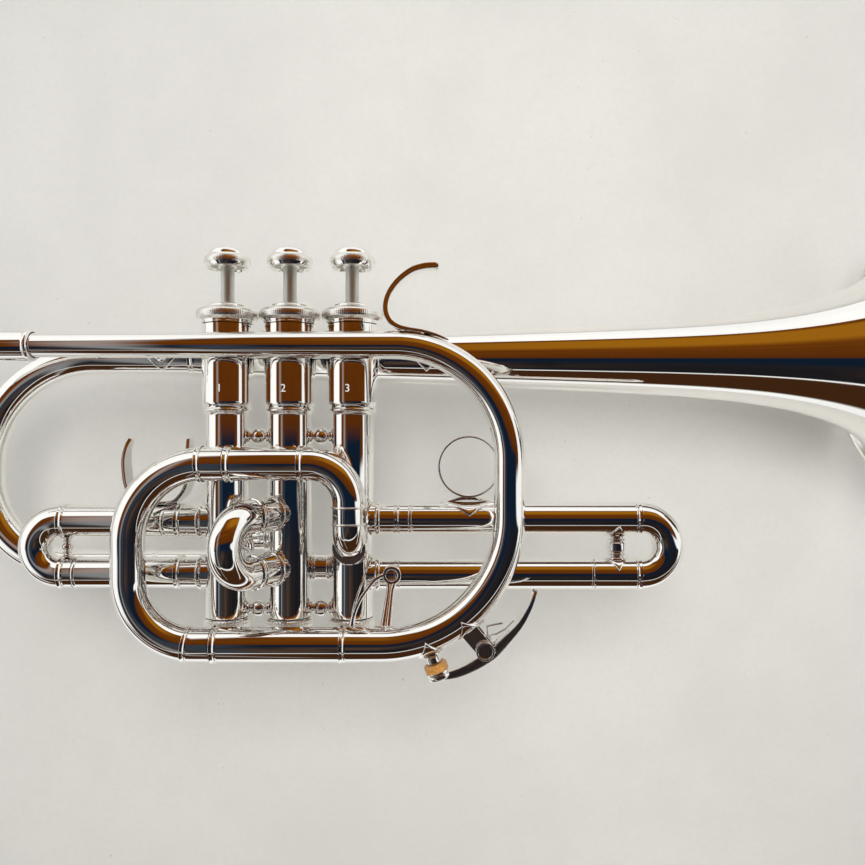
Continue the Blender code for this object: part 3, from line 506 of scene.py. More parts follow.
def hoop(width, rise):
    """A single rounded ring's outline."""
    count = 12
    return [(-width / 2 * math.cos(math.pi * i / count), rise * math.sin(math.pi * i / count))
            for i in range(count + 1)]


def tube(path, start_radius, end_radius=None, wall=None, bands=(), sides=SIDES):
    """A round tube or bar along a path, with (place, outline) bands raised around it."""
    path = guarded([Vector(point) for point in path])
    if end_radius is None:
        end_radius = start_radius
    lengths = distances(path)
    stations = []
    spans = []
    for place, outline in bands:
        middle = nearest(path, lengths, Vector(place))
        spans.append((middle + outline[0][0] - 0.05, middle + outline[-1][0] + 0.05))
        stations += [(middle + offset, rise) for offset, rise in outline]
    for distance in lengths:
        if not any(low < distance < high for low, high in spans):
            stations.append((distance, 0.0))
    stations = sorted((min(max(distance, 0.0), lengths[-1]), rise) for distance, rise in stations)
    points = []
    radii = []
    for distance, rise in stations:
        point = point_at(path, lengths, distance)
        if points and (point - points[-1]).length < 0.004:
            continue
        points.append(point)
        share = distance / lengths[-1]
        radii.append(start_radius + (end_radius - start_radius) * share + rise)
    return swept(points, radii, wall, sides)


def frames(points):
    """A direction and two directions across it at each point, without twist."""
    result = []
    across = None
    for i, point in enumerate(points):
        before = points[max(i - 1, 0)]
        after = points[min(i + 1, len(points) - 1)]
        along = (after - point).normalized() + (point - before).normalized()
        along = along.normalized()
        if across is None:
            across = along.orthogonal()
        across = (across - along * across.dot(along)).normalized()
        result.append((along, across, along.cross(across)))
    return result


def swept(points, radii, wall=None, sides=SIDES):
    """Rings of the given radii along points, as a solid bar or as a tube with a wall."""
    def circle(point, across, around, radius):
        return [point + (across * math.cos(2 * math.pi * k / sides)
                         + around * math.sin(2 * math.pi * k / sides)) * radius
                for k in range(sides)]

    outer = [circle(point, across, around, radius)
             for point, radius, (_, across, around) in zip(points, radii, frames(points))]
    if wall is None:
        return loft(outer)
    smallest = min(radii)
    inner = [circle(point, across, around, smallest - wall)
             for point, (_, across, around) in zip(points, frames(points))]
    return loft(outer + inner[::-1], loop=True)


def squared(angle, power):
    """The sine of an angle, pushed towards its ends, for an outline with rounded corners."""
    return math.copysign(abs(math.sin(angle)) ** power, math.sin(angle))


def ribbon(path, widths, thicknesses, corner=4.0, sides=28):
    """A strip with rounded edges along a path; it lies flat from left to right."""
    points = [Vector(point) for point in path]
    rings = []
    for i, point in enumerate(points):
        before = points[max(i - 1, 0)]
        after = points[min(i + 1, len(points) - 1)]
        along = (after - before).normalized()
        out = along.cross(LEFT).normalized()
        ring = []
        for k in range(sides):
            angle = 2 * math.pi * k / sides
            u = squared(angle + math.pi / 2, 2 / corner)
            v = squared(angle, 2 / corner)
            ring.append(point + LEFT * u * widths[i] / 2 + out * v * thicknesses[i] / 2)
        rings.append(ring)
    return loft(rings)


def smooth_line(points, values, steps=8):
    """A Catmull-Rom curve through points, with its values carried along it."""
    points = [Vector(point) for point in points]
    line = []
    carried = []
    for i in range(len(points) - 1):
        a = points[max(i - 1, 0)]
        b = points[i]
        c = points[i + 1]
        d = points[min(i + 2, len(points) - 1)]
        last = i == len(points) - 2
        for k in range(steps + (1 if last else 0)):
            t = k / steps
            line.append(0.5 * (2 * b + (c - a) * t + (2 * a - 5 * b + 4 * c - d) * t ** 2
                               + (3 * b - a - 3 * c + d) * t ** 3))
            carried.append([v + (w - v) * t for v, w in zip(values[i], values[i + 1])])
    return line, carried


def strip(points, sizes, corner=4.0, sides=48):
    """A ribbon on a smooth line through points; sizes are (width, thickness) at each."""
    line, values = smooth_line(points, sizes)
    return ribbon(line, [v[0] for v in values], [v[1] for v in values], corner=corner, sides=sides)


def wire(points, radii):
    """A thin round bar on a smooth line through points."""
    line, values = smooth_line(points, [(radius,) for radius in radii])
    return swept(line, [v[0] for v in values], sides=24)


def diamond_foot(centre, along, outward, tube_radius, half_length, half_wrap, thickness):
    """A diamond-shaped foot plate, wrapped on a tube whose axis runs through the centre."""
    along = Vector(along).normalized()
    outward = Vector(outward)
    outward = (outward - along * outward.dot(along)).normalized()
    side = along.cross(outward)
    stations = 40
    spread = 28
    rings = []
    for i in range(stations + 1):
        place = -math.cos(math.pi * i / stations)
        wrap = half_wrap * (1 - abs(place)) + 0.3
        rim = min(1.0, 1.6 / wrap)
        ring = []
        for k in range(spread + 1):
            share = -math.cos(math.pi * k / spread)
            edge = max(0.0, (abs(share) - 1 + rim) / rim)
            tip = max(0.0, (abs(place) - 0.85) / 0.15)
            lift = thickness * math.sqrt(max(0.0, 1 - edge ** 2)) * math.sqrt(max(0.0, 1 - tip ** 2))
            ring.append((share, lift))
        ring += [(share, -0.3) for share, _ in ring[::-1]]
        rings.append([Vector(centre) + along * place * half_length
                      + (outward * math.cos(share * wrap / tube_radius)
                         + side * math.sin(share * wrap / tube_radius)) * (tube_radius + lift)
                      for share, lift in ring])
    return loft(rings)


def body_of(node):
    """The name of the CAD body that a node rides on."""
    parent = frame["nodes"][node].parent
    return next(name for name, empty in frame["bodies"].items() if empty == parent)


def piece(name, shape, materials, *nodes, body=None):
    """A finished mesh that stands for CAD nodes, or adds a detail to the given body."""
    mesh = bpy.data.meshes.new(name)
    mesh.from_pydata([(Vector(p) + UP * BASE_HEIGHT) * MM for p in shape.points], [], shape.faces)
    mesh.validate()
    mesh.shade_smooth()
    mesh.set_sharp_from_angle(angle=SHARP_ANGLE)
    for material in materials:
        mesh.materials.append(material)
    if len(materials) > 1:
        mesh.polygons.foreach_set("material_index", shape.finishes)
    thing = bpy.data.objects.new(name, mesh)
    bpy.context.scene.collection.objects.link(thing)
    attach(thing, body or body_of(nodes[0]))
    if nodes:
        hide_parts(*nodes)


def plated(node, shape):
    """A polished silver piece that stands for one CAD node and is named after it."""
    piece(f"{node}_plated", shape, [SILVER], node)


# Valves ------------------------------------------------------------------------------------------
def casing(number, x):
    """The casing with its wider baluster and the bead below it."""
    outside = [(BALUSTER_RADIUS, CASING_TOP), (BALUSTER_RADIUS, BALUSTER_BOTTOM + 3.4),
               (BALUSTER_RADIUS - 0.9, BALUSTER_BOTTOM + 1.9)]
    bead = [(BALUSTER_RADIUS - 0.9 + 0.75 * math.sin(math.pi * i / 8), BALUSTER_BOTTOM + 1.7 - 0.25 * i)
            for i in range(9)]
    tail = [(CASING_RADIUS, BALUSTER_BOTTOM - 1.2), (CASING_RADIUS, BALUSTER_BOTTOM - 1.5),
            (CASING_RADIUS, CASING_BOTTOM)]
    inside = [(BORE_RADIUS, CASING_BOTTOM), (BORE_RADIUS, GUIDE_TOP - 2.6), (8.85, GUIDE_TOP - 2.6),
              (8.85, BALUSTER_BOTTOM), (9.6, BALUSTER_BOTTOM + 1.0), (9.6, CASING_TOP)]
    profile = soften(outside, 0.8) + bead + soften(tail + inside, 0.15)
    plated(f"casing_{number}", lathe(profile, (x, 0, 0), sides=72, ring=True))


def caps(number, x):
    """The screwed caps, with knurled rims."""
    hole = STEM_RADIUS + 0.6
    dome = soften([(hole + 0.3, 126.1), (7.7, 126.1), (8.9, 125.2), (9.2, 124.2), (11.4, 123.9),
                   (12.85, 122.6), (12.85, 120.2), (11.5, 118.75), (11.2, 118.7)], 0.9, steps=6)
    skirt = [(11.2, 118.0), (11.05, 117.95), (11.05, 117.6), (11.3, 117.5), (11.3, CASING_TOP + GAP),
             (9.0, CASING_TOP + GAP), (9.0, 123.0), (hole, 123.0), (hole, 125.8)]
    profile = split_long(dome, 0.3) + [Vector(corner) for corner in skirt]
    piece(f"top_cap_{number}_plated",
          lathe(profile, (x, 0, 0), sides=288, ring=True, knurl=(119.1, 123.75, 0.16, 96)),
          [SILVER, FROSTED], f"top_cap_{number}")
    cup = soften([(8.5, CASING_BOTTOM - GAP), (9.2, CASING_BOTTOM - GAP), (10.0, -7.0), (10.0, -9.8),
                  (8.8, -10.6), (5.6, -BASE_HEIGHT), (2.0, -BASE_HEIGHT)], 0.5, steps=5)
    profile = [(1.0, -9.5), (8.4, -9.4)] + split_long(cup, 0.3)
    piece(f"bottom_cap_{number}_plated",
          lathe(profile, (x, 0, 0), sides=216, knurl=(-9.9, -6.9, 0.2, 48)),
          [SILVER, FROSTED], f"bottom_cap_{number}")


def stem(number, x):
    """The brushed stem with the flange that presses on the spring."""
    profile = [(STEM_RADIUS, BUTTON_UNDERSIDE + 0.8), (STEM_RADIUS, FLANGE_TOP), (7.6, FLANGE_TOP),
               (7.6, FLANGE_BOTTOM), (STEM_RADIUS, FLANGE_BOTTOM), (STEM_RADIUS, PISTON_TOP + GAP)]
    piece(f"stem_{number}_brushed", lathe(soften(profile, 0.25), (x, 0, 0), sides=48), [NICKEL],
          f"stem_{number}")


def button(number, x):
    """The finger button: knurled rim, polished crown, pearl inlay and felt washer."""
    profile = [(STEM_RADIUS + 0.1, BUTTON_UNDERSIDE + 0.4), (4.0, BUTTON_UNDERSIDE + 0.4),
               (4.3, 143.2), (7.4, 142.6), (8.0, BUTTON_UNDERSIDE), (8.6, BUTTON_UNDERSIDE),
               (9.1, 142.2), (9.5, 143.5), (9.5, 144.8), (9.0, 146.0), (8.4, 146.4), (8.2, 147.5),
               (7.6, 148.6), (6.9, BUTTON_TOP), (6.2, BUTTON_TOP), (5.7, 148.2), (1.0, 147.9)]
    profile = split_long(soften(profile[::-1], 0.6, steps=5), 0.3)
    piece(f"button_{number}_plated",
          lathe(profile, (x, 0, 0), sides=288, knurl=(143.0, 145.8, 0.10, 90)),
          [SILVER, FROSTED], f"button_{number}")
    inlay = [(0.6, 148.5), (2.5, 148.45), (4.4, 148.35), (5.6, 148.15), (5.7, 147.8)]
    piece(f"button_{number}_pearl", lathe(inlay, (x, 0, 0), sides=64), [PEARL],
          body=f"valve_{number}")
    washer = soften([(7.2, 142.9), (7.2, 142.3), (6.9, 142.0), (4.2, 142.0), (4.2, 142.9)], 0.25)
    piece(f"button_{number}_felt", lathe(washer, (x, 0, 0), sides=64), [FELT],
          body=f"valve_{number}")


def guide_and_spring(number, x):
    """The nylon piston guide and the coiled return spring inside the casing."""
    profile = [(8.6, GUIDE_TOP), (8.6, GUIDE_TOP - 2.2), (3.6, GUIDE_TOP - 2.2), (3.6, GUIDE_TOP)]
    piece(f"guide_{number}_moulded", lathe(soften(profile, 0.3, True), (x, 0, 0), ring=True),
          [NYLON], f"guide_{number}")
    turns = 6
    wire = 0.45
    low = GUIDE_TOP + wire + 0.2
    high = FLANGE_BOTTOM - wire - 0.2
    steps = turns * 36
    coil = [Vector((x + 6.2 * math.cos(2 * math.pi * i / 36), 6.2 * math.sin(2 * math.pi * i / 36),
                    low + (high - low) * i / steps)) for i in range(steps + 1)]
    piece(f"spring_{number}_wire", swept(coil, [wire] * len(coil), sides=10), [STEEL],
          f"spring_{number}")


def digit(number, x):
    """The valve's number, engraved on the front of its baluster."""
    curve = bpy.data.curves.new("digit", "FONT")
    curve.body = str(number)
    curve.size = 4.6
    curve.extrude = 0.05
    curve.align_x = "CENTER"
    text = bpy.data.objects.new("digit", curve)
    bpy.context.scene.collection.objects.link(text)
    bpy.context.view_layer.update()
    mesh = bpy.data.meshes.new_from_object(text.evaluated_get(bpy.context.evaluated_depsgraph_get()))
    bpy.data.objects.remove(text)
    radius = BALUSTER_RADIUS + 0.03
    points = []
    for vertex in mesh.vertices:
        angle = (vertex.co.x - DIGIT_OFFSETS[number]) / radius
        reach = radius + vertex.co.z
        points.append(Vector((x + reach * math.sin(angle), -reach * math.cos(angle),
                              DIGIT_HEIGHT + vertex.co.y)))
    faces = [list(polygon.vertices) for polygon in mesh.polygons]
    piece(f"valve_number_{number}", Shape().add(points, faces), [DIGIT], body="horn")


for number, x in VALVE_X.items():
    casing(number, x)
    caps(number, x)
    stem(number, x)
    button(number, x)
    guide_and_spring(number, x)
    digit(number, x)
    frame["nodes"][f"piston_{number}"].data.materials.clear()
    frame["nodes"][f"piston_{number}"].data.materials.append(MONEL)


# Leadpipe, front bow and the entry into the third valve ----------------------------------------------
def spindle(start, end, foot, waist, bead, foot_height=1.0):
    """A turned brace: flared feet, slim waists and a round bead between two fine rings."""
    start = Vector(start)
    end = Vector(end)
    length = (end - start).length
    middle = length / 2
    profile = [(foot, 0.0), (foot, foot_height * 0.5), (waist + 0.5, foot_height * 1.2),
               (waist, foot_height * 2.0), (waist, middle - bead * 1.25),
               (waist + 0.6, middle - bead * 1.1), (waist + 0.6, middle - bead * 0.95),
               (waist + 0.1, middle - bead * 0.85)]
    ball = [(bead * math.cos(angle), middle + bead * 0.85 * math.sin(angle))
            for angle in (math.radians(-60 + 12 * i) for i in range(11))]
    mirrored = [(radius, length - height) for radius, height in profile[::-1]]
    outline = soften(profile, 0.3) + [Vector(point) for point in ball] + soften(mirrored, 0.3)
    return lathe(outline[::-1], start, end - start, sides=40)


def leadpipe():
    """The mouthpiece receiver, the leadpipe and the large front bow."""
    length = RECEIVER_RIGHT - RECEIVER_LEFT
    profile = [(5.6, length), (6.4, length - 0.3), (6.6, length - 0.8), (6.6, length - 1.5),
               (6.3, length - 2.0), (6.3, 4.2), (7.0, 3.4),
               (7.1, 2.6), (7.1, 0.5), (6.6, 0.0), (5.3, 0.0), (4.6, 30.0), (5.15, 32.0),
               (5.15, length)]
    plated("mouthpiece_receiver",
           lathe(soften(profile, 0.35, True), (RECEIVER_LEFT, PIPE_Y, PIPE_Z), FRONT, ring=True))
    middle = -30.0
    rear = tube([(RECEIVER_RIGHT - 12, PIPE_Y, PIPE_Z), (middle, PIPE_Y, PIPE_Z)], 4.8, 5.2)
    fore = tube([(middle, PIPE_Y, PIPE_Z), (PIPE_RIGHT, PIPE_Y, PIPE_Z)], 5.2, 5.68)
    plated("leadpipe", rear.join(fore))
    path = bent([(PIPE_RIGHT, PIPE_Y, PIPE_Z), (FRONT_BOW_X, PIPE_Y, PIPE_Z),
                 (FRONT_BOW_X, PIPE_Y, LOWER_LEG_Z), (FRONT_BOW_END - 1, PIPE_Y, LOWER_LEG_Z)],
                [FRONT_BOW_UPPER_BEND, FRONT_BOW_LOWER_BEND])
    plated("front_bow", tube(path, 5.68, 6.9, sides=72))


def main_receivers():
    """The main slide's fixed tubes and the elbow that drops into the third valve."""
    seam_ring = beads(2.7, 0.75)
    plated("main_slide_tube_lower",
           tube([(MAIN_LOWER_SEAM, PIPE_Y, LOWER_LEG_Z), (FRONT_BOW_END, PIPE_Y, LOWER_LEG_Z)], 6.9,
                wall=0.7, bands=[((MAIN_LOWER_SEAM + 1.5, PIPE_Y, LOWER_LEG_Z), seam_ring),
                                 ((FRONT_BOW_END - 1.5, PIPE_Y, LOWER_LEG_Z), seam_ring)]))
    plated("main_slide_tube_upper",
           tube([(MAIN_UPPER_SEAM, PIPE_Y, MAIN_UPPER_Z), (MAIN_UPPER_END, PIPE_Y, MAIN_UPPER_Z)],
                6.8, wall=0.7, bands=[((MAIN_UPPER_SEAM + 1.5, PIPE_Y, MAIN_UPPER_Z), seam_ring),
                                      ((MAIN_UPPER_END - 1.5, PIPE_Y, MAIN_UPPER_Z), seam_ring)]))
    path = bent([(MAIN_UPPER_END - 1, PIPE_Y, MAIN_UPPER_Z), (DROP_X, PIPE_Y, MAIN_UPPER_Z),
                 (DROP_X, PIPE_Y, INLET_Z), (DROP_X, -7.0, INLET_Z)], [16.0, 9.4])
    elbow = tube(path, 6.75, bands=[((DROP_X, PIPE_Y, 41.6), hoop(0.9, 0.45)),
                                    ((DROP_X, PIPE_Y, 34.9), hoop(0.9, 0.45))])
    collar = soften([(6.6, 3.4), (7.1, 2.4), (7.7, 0.4), (7.9, -2.0), (7.8, -3.6), (7.0, -4.4)], 1.0,
                    steps=6)
    flange = lathe(collar, (DROP_X, -13.5, INLET_Z), -LEFT, sides=72)
    plated("entry_elbow", elbow.join(flange))


def crossover(label, left, height):
    """A short tube between two casings, with a raised ring beside each of them."""
    x = VALVE_X[left]
    rise = hoop(1.6, 0.7)
    start = (x + CASING_RADIUS - 2.0, CROSSOVER_Y, height)
    end = (x + VALVE_SPACING - CASING_RADIUS + 2.0, CROSSOVER_Y, height)
    shape = tube([start, end], 5.5, bands=[((x + 10.2, CROSSOVER_Y, height), rise),
                                           ((x + VALVE_SPACING - 10.2, CROSSOVER_Y, height), rise)])
    plated(f"crossover_{label}", shape)


def casing_braces():
    """The four turned braces between the casings, each with a large bead and hollowed feet."""
    middle = VALVE_SPACING / 2 - CASING_RADIUS
    ball = [(3.7 * math.cos(angle), middle + 3.5 * math.sin(angle))
            for angle in (math.radians(-64 + 8 * i) for i in range(17))]
    foot = [(3.1, -0.6), (3.1, 0.35), (2.7, 0.6), (1.8, 0.75)]
    mirrored = [(radius, 2 * middle - height) for radius, height in foot[::-1]]
    outline = soften(foot, 0.2) + [Vector(point) for point in ball] + soften(mirrored, 0.2)
    for left in (1, 2):
        for label, height in (("upper", 70.0), ("lower", -2.8)):
            start = (VALVE_X[left] + CASING_RADIUS, 0, height)
            node = f"casing_brace_{left}{left + 1}_{label}"
            piece(f"{node}_turned", lathe(outline[::-1], start, FRONT, sides=48), [SILVER], node)


leadpipe()
main_receivers()
crossover("12", 1, 26.8)
crossover("23", 2, 14.0)
casing_braces()


# Slides ------------------------------------------------------------------------------------------
def slide_legs(*legs):
    """The thin inner legs that run inside the fixed tubes."""
    shape = Shape()
    for start, end in legs:
        shape.join(tube([start, end], LEG_RADIUS, wall=0.4, sides=48))
    return shape


def main_slide():
    """The main tuning slide's bow with its two ferrules."""
    upper = (MAIN_UPPER_SEAM - GAP, PIPE_Y, MAIN_UPPER_Z)
    lower = (MAIN_LOWER_SEAM - GAP, PIPE_Y, LOWER_LEG_Z)
    path = bent([upper, (MAIN_LEFT_X, PIPE_Y, MAIN_UPPER_Z), (MAIN_LEFT_X, PIPE_Y, LOWER_LEG_Z),
                 lower], [31.0, 27.0])
    ring = beads(2.3, 0.6)
    bow = tube(path, MAIN_SLIDE_RADIUS, wall=1.0, sides=72,
               bands=[((-32.6, PIPE_Y, MAIN_UPPER_Z), ring), ((-38.0, PIPE_Y, LOWER_LEG_Z), ring)])
    legs = slide_legs(((6.0, PIPE_Y, MAIN_UPPER_Z), (MAIN_UPPER_SEAM - 3, PIPE_Y, MAIN_UPPER_Z)),
                      ((10.0, PIPE_Y, LOWER_LEG_Z), (MAIN_LOWER_SEAM - 3, PIPE_Y, LOWER_LEG_Z)))
    plated("main_slide", bow.join(legs))


def fixed_tube(node, start, end, bands):
    """A slide's fixed tube; bands are (distance from the casing's axis, outline)."""
    start = Vector(start)
    end = Vector(end)
    along = (end - start).normalized()
    places = [(start + along * distance, outline) for distance, outline in bands]
    plated(node, tube([start + along * 6.5, end], SLIDE_RADIUS, wall=0.6, bands=places))


def long_slide(toward, valve, heights, crook_x, seams, ferrule_x, leg_start, rise):
    """A long slide's crook with its ferrules and inner legs; toward is 1 for the bell's side."""
    upper, lower = heights
    bend = (upper - lower) / 2
    far = crook_x + toward * bend
    path = bent([(seams[0] + toward * GAP, 0, upper), (far, 0, upper), (far, 0, lower),
                 (seams[1] + toward * GAP, 0, lower)], [bend, bend])
    bands = [((ferrule_x, 0, height), beads(2.6, rise)) for height in heights]
    starts = (VALVE_X[valve] + toward * 11.5, leg_start)
    legs = [((start, 0, height), (seam + toward * 3, 0, height))
            for start, seam, height in zip(starts, seams, heights)]
    return tube(path, SLIDE_RADIUS, wall=0.8, bands=bands).join(slide_legs(*legs))


def long_slide_tubes(name, valve, heights, seams, socket, ends):
    """The two fixed tubes of a long slide, each with a thin ring at its open end."""
    x = VALVE_X[valve]
    for label, height, seam, end in zip(("upper", "lower"), heights, seams, ends):
        fixed_tube(f"{name}_tube_{label}", (x, 0, height), (seam, 0, height),
                   socket + [(abs(seam - x) - 0.9, hoop(*end))])


def first_slide():
    """The first valve's slide, its brace and its fixed tubes."""
    heights = (FIRST_UPPER_Z, FIRST_LOWER_Z)
    seams = (-53.3, -90.6)
    slide = long_slide(-1, 1, heights, FIRST_CROOK_X, seams, -95.5, -45.0, 0.65)
    low = FIRST_LOWER_Z + SLIDE_RADIUS - 0.2
    high = FIRST_UPPER_Z - SLIDE_RADIUS + 0.2
    brace = spindle((-94.6, 0, low), (-94.6, 0, high), 2.8, 1.3, 2.3)
    plated("first_slide", slide.join(brace))
    socket = [(11.0, hoop(2.2, 0.9)), (20.0, beads(2.6, 0.65))]
    long_slide_tubes("first_slide", 1, heights, seams, socket, ((1.4, 0.35), (1.4, 0.35)))


def second_slide():
    """The second valve's short slide with its pull knob, and its fixed tubes."""
    away = SECOND_AWAY
    up = UP * SECOND_UPPER_Z
    low = UP * SECOND_LOWER_Z
    bend = (SECOND_UPPER_Z - SECOND_LOWER_Z) / 2
    tip = SECOND_CROOK + bend
    path = bent([up + away * (SECOND_SEAM + GAP), up + away * tip, low + away * tip,
                 low + away * (SECOND_SEAM + GAP)], [bend, bend])
    crook = tube(path, SLIDE_RADIUS, wall=0.8)
    legs = slide_legs((up + away * 11.5, up + away * (SECOND_SEAM + 2)),
                      (low + away * 11.5, low + away * (SECOND_SEAM + 2)))
    knob = [(0.6, 7.3), (2.2, 7.1), (3.0, 6.4), (3.0, 5.0), (1.7, 4.4), (1.5, 1.8), (2.4, 0.5),
            (2.6, -0.4)]
    root = (up + low) / 2 + away * (tip - SLIDE_RADIUS + 0.1)
    plated("second_slide", crook.join(legs, lathe(soften(knob, 0.5), root, -away, sides=40)))
    for label, height in (("upper", up), ("lower", low)):
        fixed_tube(f"second_slide_tube_{label}", height, height + away * SECOND_SEAM,
                   [(10.6, hoop(2.2, 0.9)), (SECOND_SEAM - 1.5, beads(2.4, 0.6))])


def third_slide():
    """The third valve's long slide with its barrel brace, and its fixed tubes."""
    heights = (THIRD_UPPER_Z, THIRD_LOWER_Z)
    seams = (52.0, 128.7)
    slide = long_slide(1, 3, heights, THIRD_CROOK_X, seams, 147.4, 70.0, 0.6)
    low = THIRD_LOWER_Z + SLIDE_RADIUS
    high = THIRD_UPPER_Z - SLIDE_RADIUS
    middle = (low + high) / 2
    half = (high - low) / 2
    barrel = [(4.3, half), (4.1, half - 0.6), (3.3, half - 1.0), (3.3, half - 1.4),
              (4.1, half - 1.8), (4.1, half - 2.4), (3.4, half - 2.8), (4.0, half - 3.5)]
    whole = barrel + [(radius, -height) for radius, height in barrel[::-1]]
    brace = lathe(soften(whole, 0.25), (138.6, 0, middle), sides=48)
    feet = [diamond_foot((138.6, 0, centre), FRONT, side, SLIDE_RADIUS, 5.4, 8.0, 0.8)
            for centre, side in ((THIRD_UPPER_Z, -UP), (THIRD_LOWER_Z, UP))]
    plated("third_slide", slide.join(brace, *feet))
    socket = [(11.0, hoop(2.2, 0.9)), (19.2, beads(2.6, 0.65))]
    long_slide_tubes("third_slide", 3, heights, seams, socket, ((1.4, 0.35), (1.0, 0.2)))


def thumb_saddle():
    """The U-shaped thumb saddle on a wrapped foot."""
    top = FIRST_UPPER_Z + SLIDE_RADIUS
    half = 12.9
    bottom = top + 1.4
    corners = [(-half + 1.3, 69.0), (-half - 0.5, 64.5), (-half - 1.0, 58.5), (-half + 0.2, bottom + 8),
               (-half + 3.0, bottom + 2.6), (-6.5, bottom + 0.2), (0, bottom), (6.5, bottom + 0.2),
               (half - 2.8, bottom + 2.8), (half - 0.2, bottom + 8), (half, 60.0), (half, 69.0)]
    widths = [4.0, 6.4, 8.0, 9.4, 10.0, 10.0, 10.0, 10.0, 10.0, 9.4, 8.0, 4.4]
    points = [(SADDLE_X + u, 0, v) for u, v in corners]
    cradle = strip(points, [(width, 1.9) for width in widths], 8.0)
    foot = diamond_foot((SADDLE_X, 0, FIRST_UPPER_Z), FRONT, UP, SLIDE_RADIUS, 10.5, 7.5, 0.9)
    plated("thumb_saddle", cradle.join(foot))


def finger_ring():
    """The third slide's finger ring on its wide foot."""
    middle = RING_RADIUS - 0.6
    circle = [Vector((RING_X + middle * math.sin(2 * math.pi * i / 96), 0,
                      RING_Z - middle * math.cos(2 * math.pi * i / 96))) for i in range(96)]
    ring = []
    for point in circle:
        out = (point - Vector((RING_X, 0, RING_Z))).normalized()
        section = []
        for k in range(36):
            angle = 2 * math.pi * k / 36
            u = squared(angle + math.pi / 2, 0.3)
            v = squared(angle, 0.7)
            section.append(point + LEFT * u * 3.4 + out * v * 0.62)
        ring.append(section)
    hoop_shape = loft(ring[::-1], loop=True)
    foot = diamond_foot((RING_X, 0, THIRD_UPPER_Z), FRONT, UP, SLIDE_RADIUS, 12.4, 8.5, 0.8)
    bridge = strip([(RING_X - 9.5, 0, 42.1), (RING_X - 5.0, 0, 43.4), (RING_X, 0, 44.1),
                    (RING_X + 5.0, 0, 43.4), (RING_X + 9.5, 0, 42.1)],
                   [(2.0, 0.5), (4.6, 1.6), (6.4, 2.2), (4.6, 1.6), (2.0, 0.5)], sides=28)
    plated("finger_ring", hoop_shape.join(foot, bridge))


main_slide()
first_slide()
second_slide()
third_slide()
thumb_saddle()
finger_ring()


# Bell and bell bow -------------------------------------------------------------------------------
BESSEL_MOUTH = 298.4
BESSEL_POWER = 0.70
BESSEL_SIZE = BELL_RIM_RADIUS * (BESSEL_MOUTH - BELL_RIM_X) ** BESSEL_POWER
FLARE_START = 118.0


def bell_radius(x):
    """The bell's outer radius: a slow cone that blends into a flare towards the rim."""
    cone = 7.8 + 6.4 * (x - BELL_TAIL_X) / (FLARE_START - BELL_TAIL_X)
    flare = BESSEL_SIZE * (BESSEL_MOUTH - x) ** -BESSEL_POWER
    return (cone ** 12 + flare ** 12) ** (1 / 12)


def bell():
    """The bell's thin shell with its rolled rim."""
    stations = []
    x = BELL_TAIL_X
    while x < BELL_RIM_X - 1.2:
        stations.append(x)
        x += max(0.35, 4.0 * (BESSEL_MOUTH - x - 18.0) / (BESSEL_MOUTH - BELL_TAIL_X - 18.0) + 0.2)
    outside = []
    inside = []
    for x in stations:
        radius = bell_radius(x)
        slope = bell_radius(x + 0.5) - bell_radius(x - 0.5)
        length = math.hypot(1.0, slope)
        outside.append((radius, x))
        inside.append((radius - BELL_WALL / length, x + BELL_WALL * slope / length))
    bead = []
    for i in range(15):
        angle = math.radians(200 - 240 * i / 14)
        bead.append((BELL_RIM_RADIUS - 1.15 + 1.15 * math.sin(angle),
                     BELL_RIM_X - 1.15 - 1.15 * math.cos(angle)))
    profile = [Vector(p) for p in bead[::-1] + outside[::-1] + inside]
    shape = lathe(profile, (0, BELL_Y, BELL_Z), FRONT, sides=144, ring=True)
    ferrule = tube([(BELL_TAIL_X - 4.0, BELL_Y, BELL_Z), (BELL_TAIL_X + 6.0, BELL_Y, BELL_Z)], 8.1,
                   bands=[((BELL_TAIL_X - 2.5, BELL_Y, BELL_Z), beads(2.2, 0.5)),
                          ((BELL_TAIL_X + 4.5, BELL_Y, BELL_Z), beads(2.2, 0.5))])
    plated("bell", shape.join(ferrule))


def bell_bow():
    """The wide rear bow, from the bell's tail round and into the first valve."""
    x = VALVE_X[1]
    path = bent([(BELL_TAIL_X - GAP, BELL_Y, BELL_Z), (BOW_LEFT_X, BELL_Y, BELL_Z),
                 (BOW_LEFT_X, BELL_Y, BOW_LOWER_Z), (x, BELL_Y, BOW_LOWER_Z),
                 (x, 7.0, BOW_LOWER_Z)], [50.0, 40.0, 12.0])
    bow = tube(path, 7.8, 6.7, sides=72,
               bands=[((-64.0, BELL_Y, BOW_LOWER_Z), beads(2.6, 0.6)),
                      ((x, 9.6, BOW_LOWER_Z), hoop(2.0, 0.9))])
    plated("bell_bow", bow)


def bell_braces():
    """The two turned braces from the leadpipe to the bell."""
    height = PIPE_Z - 0.6
    for node, x, bell_side, pipe_side in (("bell_brace_front", 58.0, bell_radius(58.0), 5.8),
                                          ("bell_brace_rear", -60.0, 7.8, 5.0)):
        rod = spindle((x, PIPE_Y + pipe_side - 0.4, height), (x, BELL_Y - bell_side + 0.4, height),
                      3.2, 1.8, 3.0, 1.4)
        feet = [diamond_foot((x, BELL_Y, BELL_Z), FRONT, -LEFT, bell_side + 0.1, 6.5, 7.0, 0.5),
                diamond_foot((x, PIPE_Y, PIPE_Z), FRONT, LEFT, pipe_side, 6.5, 6.0, 0.5)]
        piece(f"{node}_turned", rod.join(*feet), [SILVER], node)


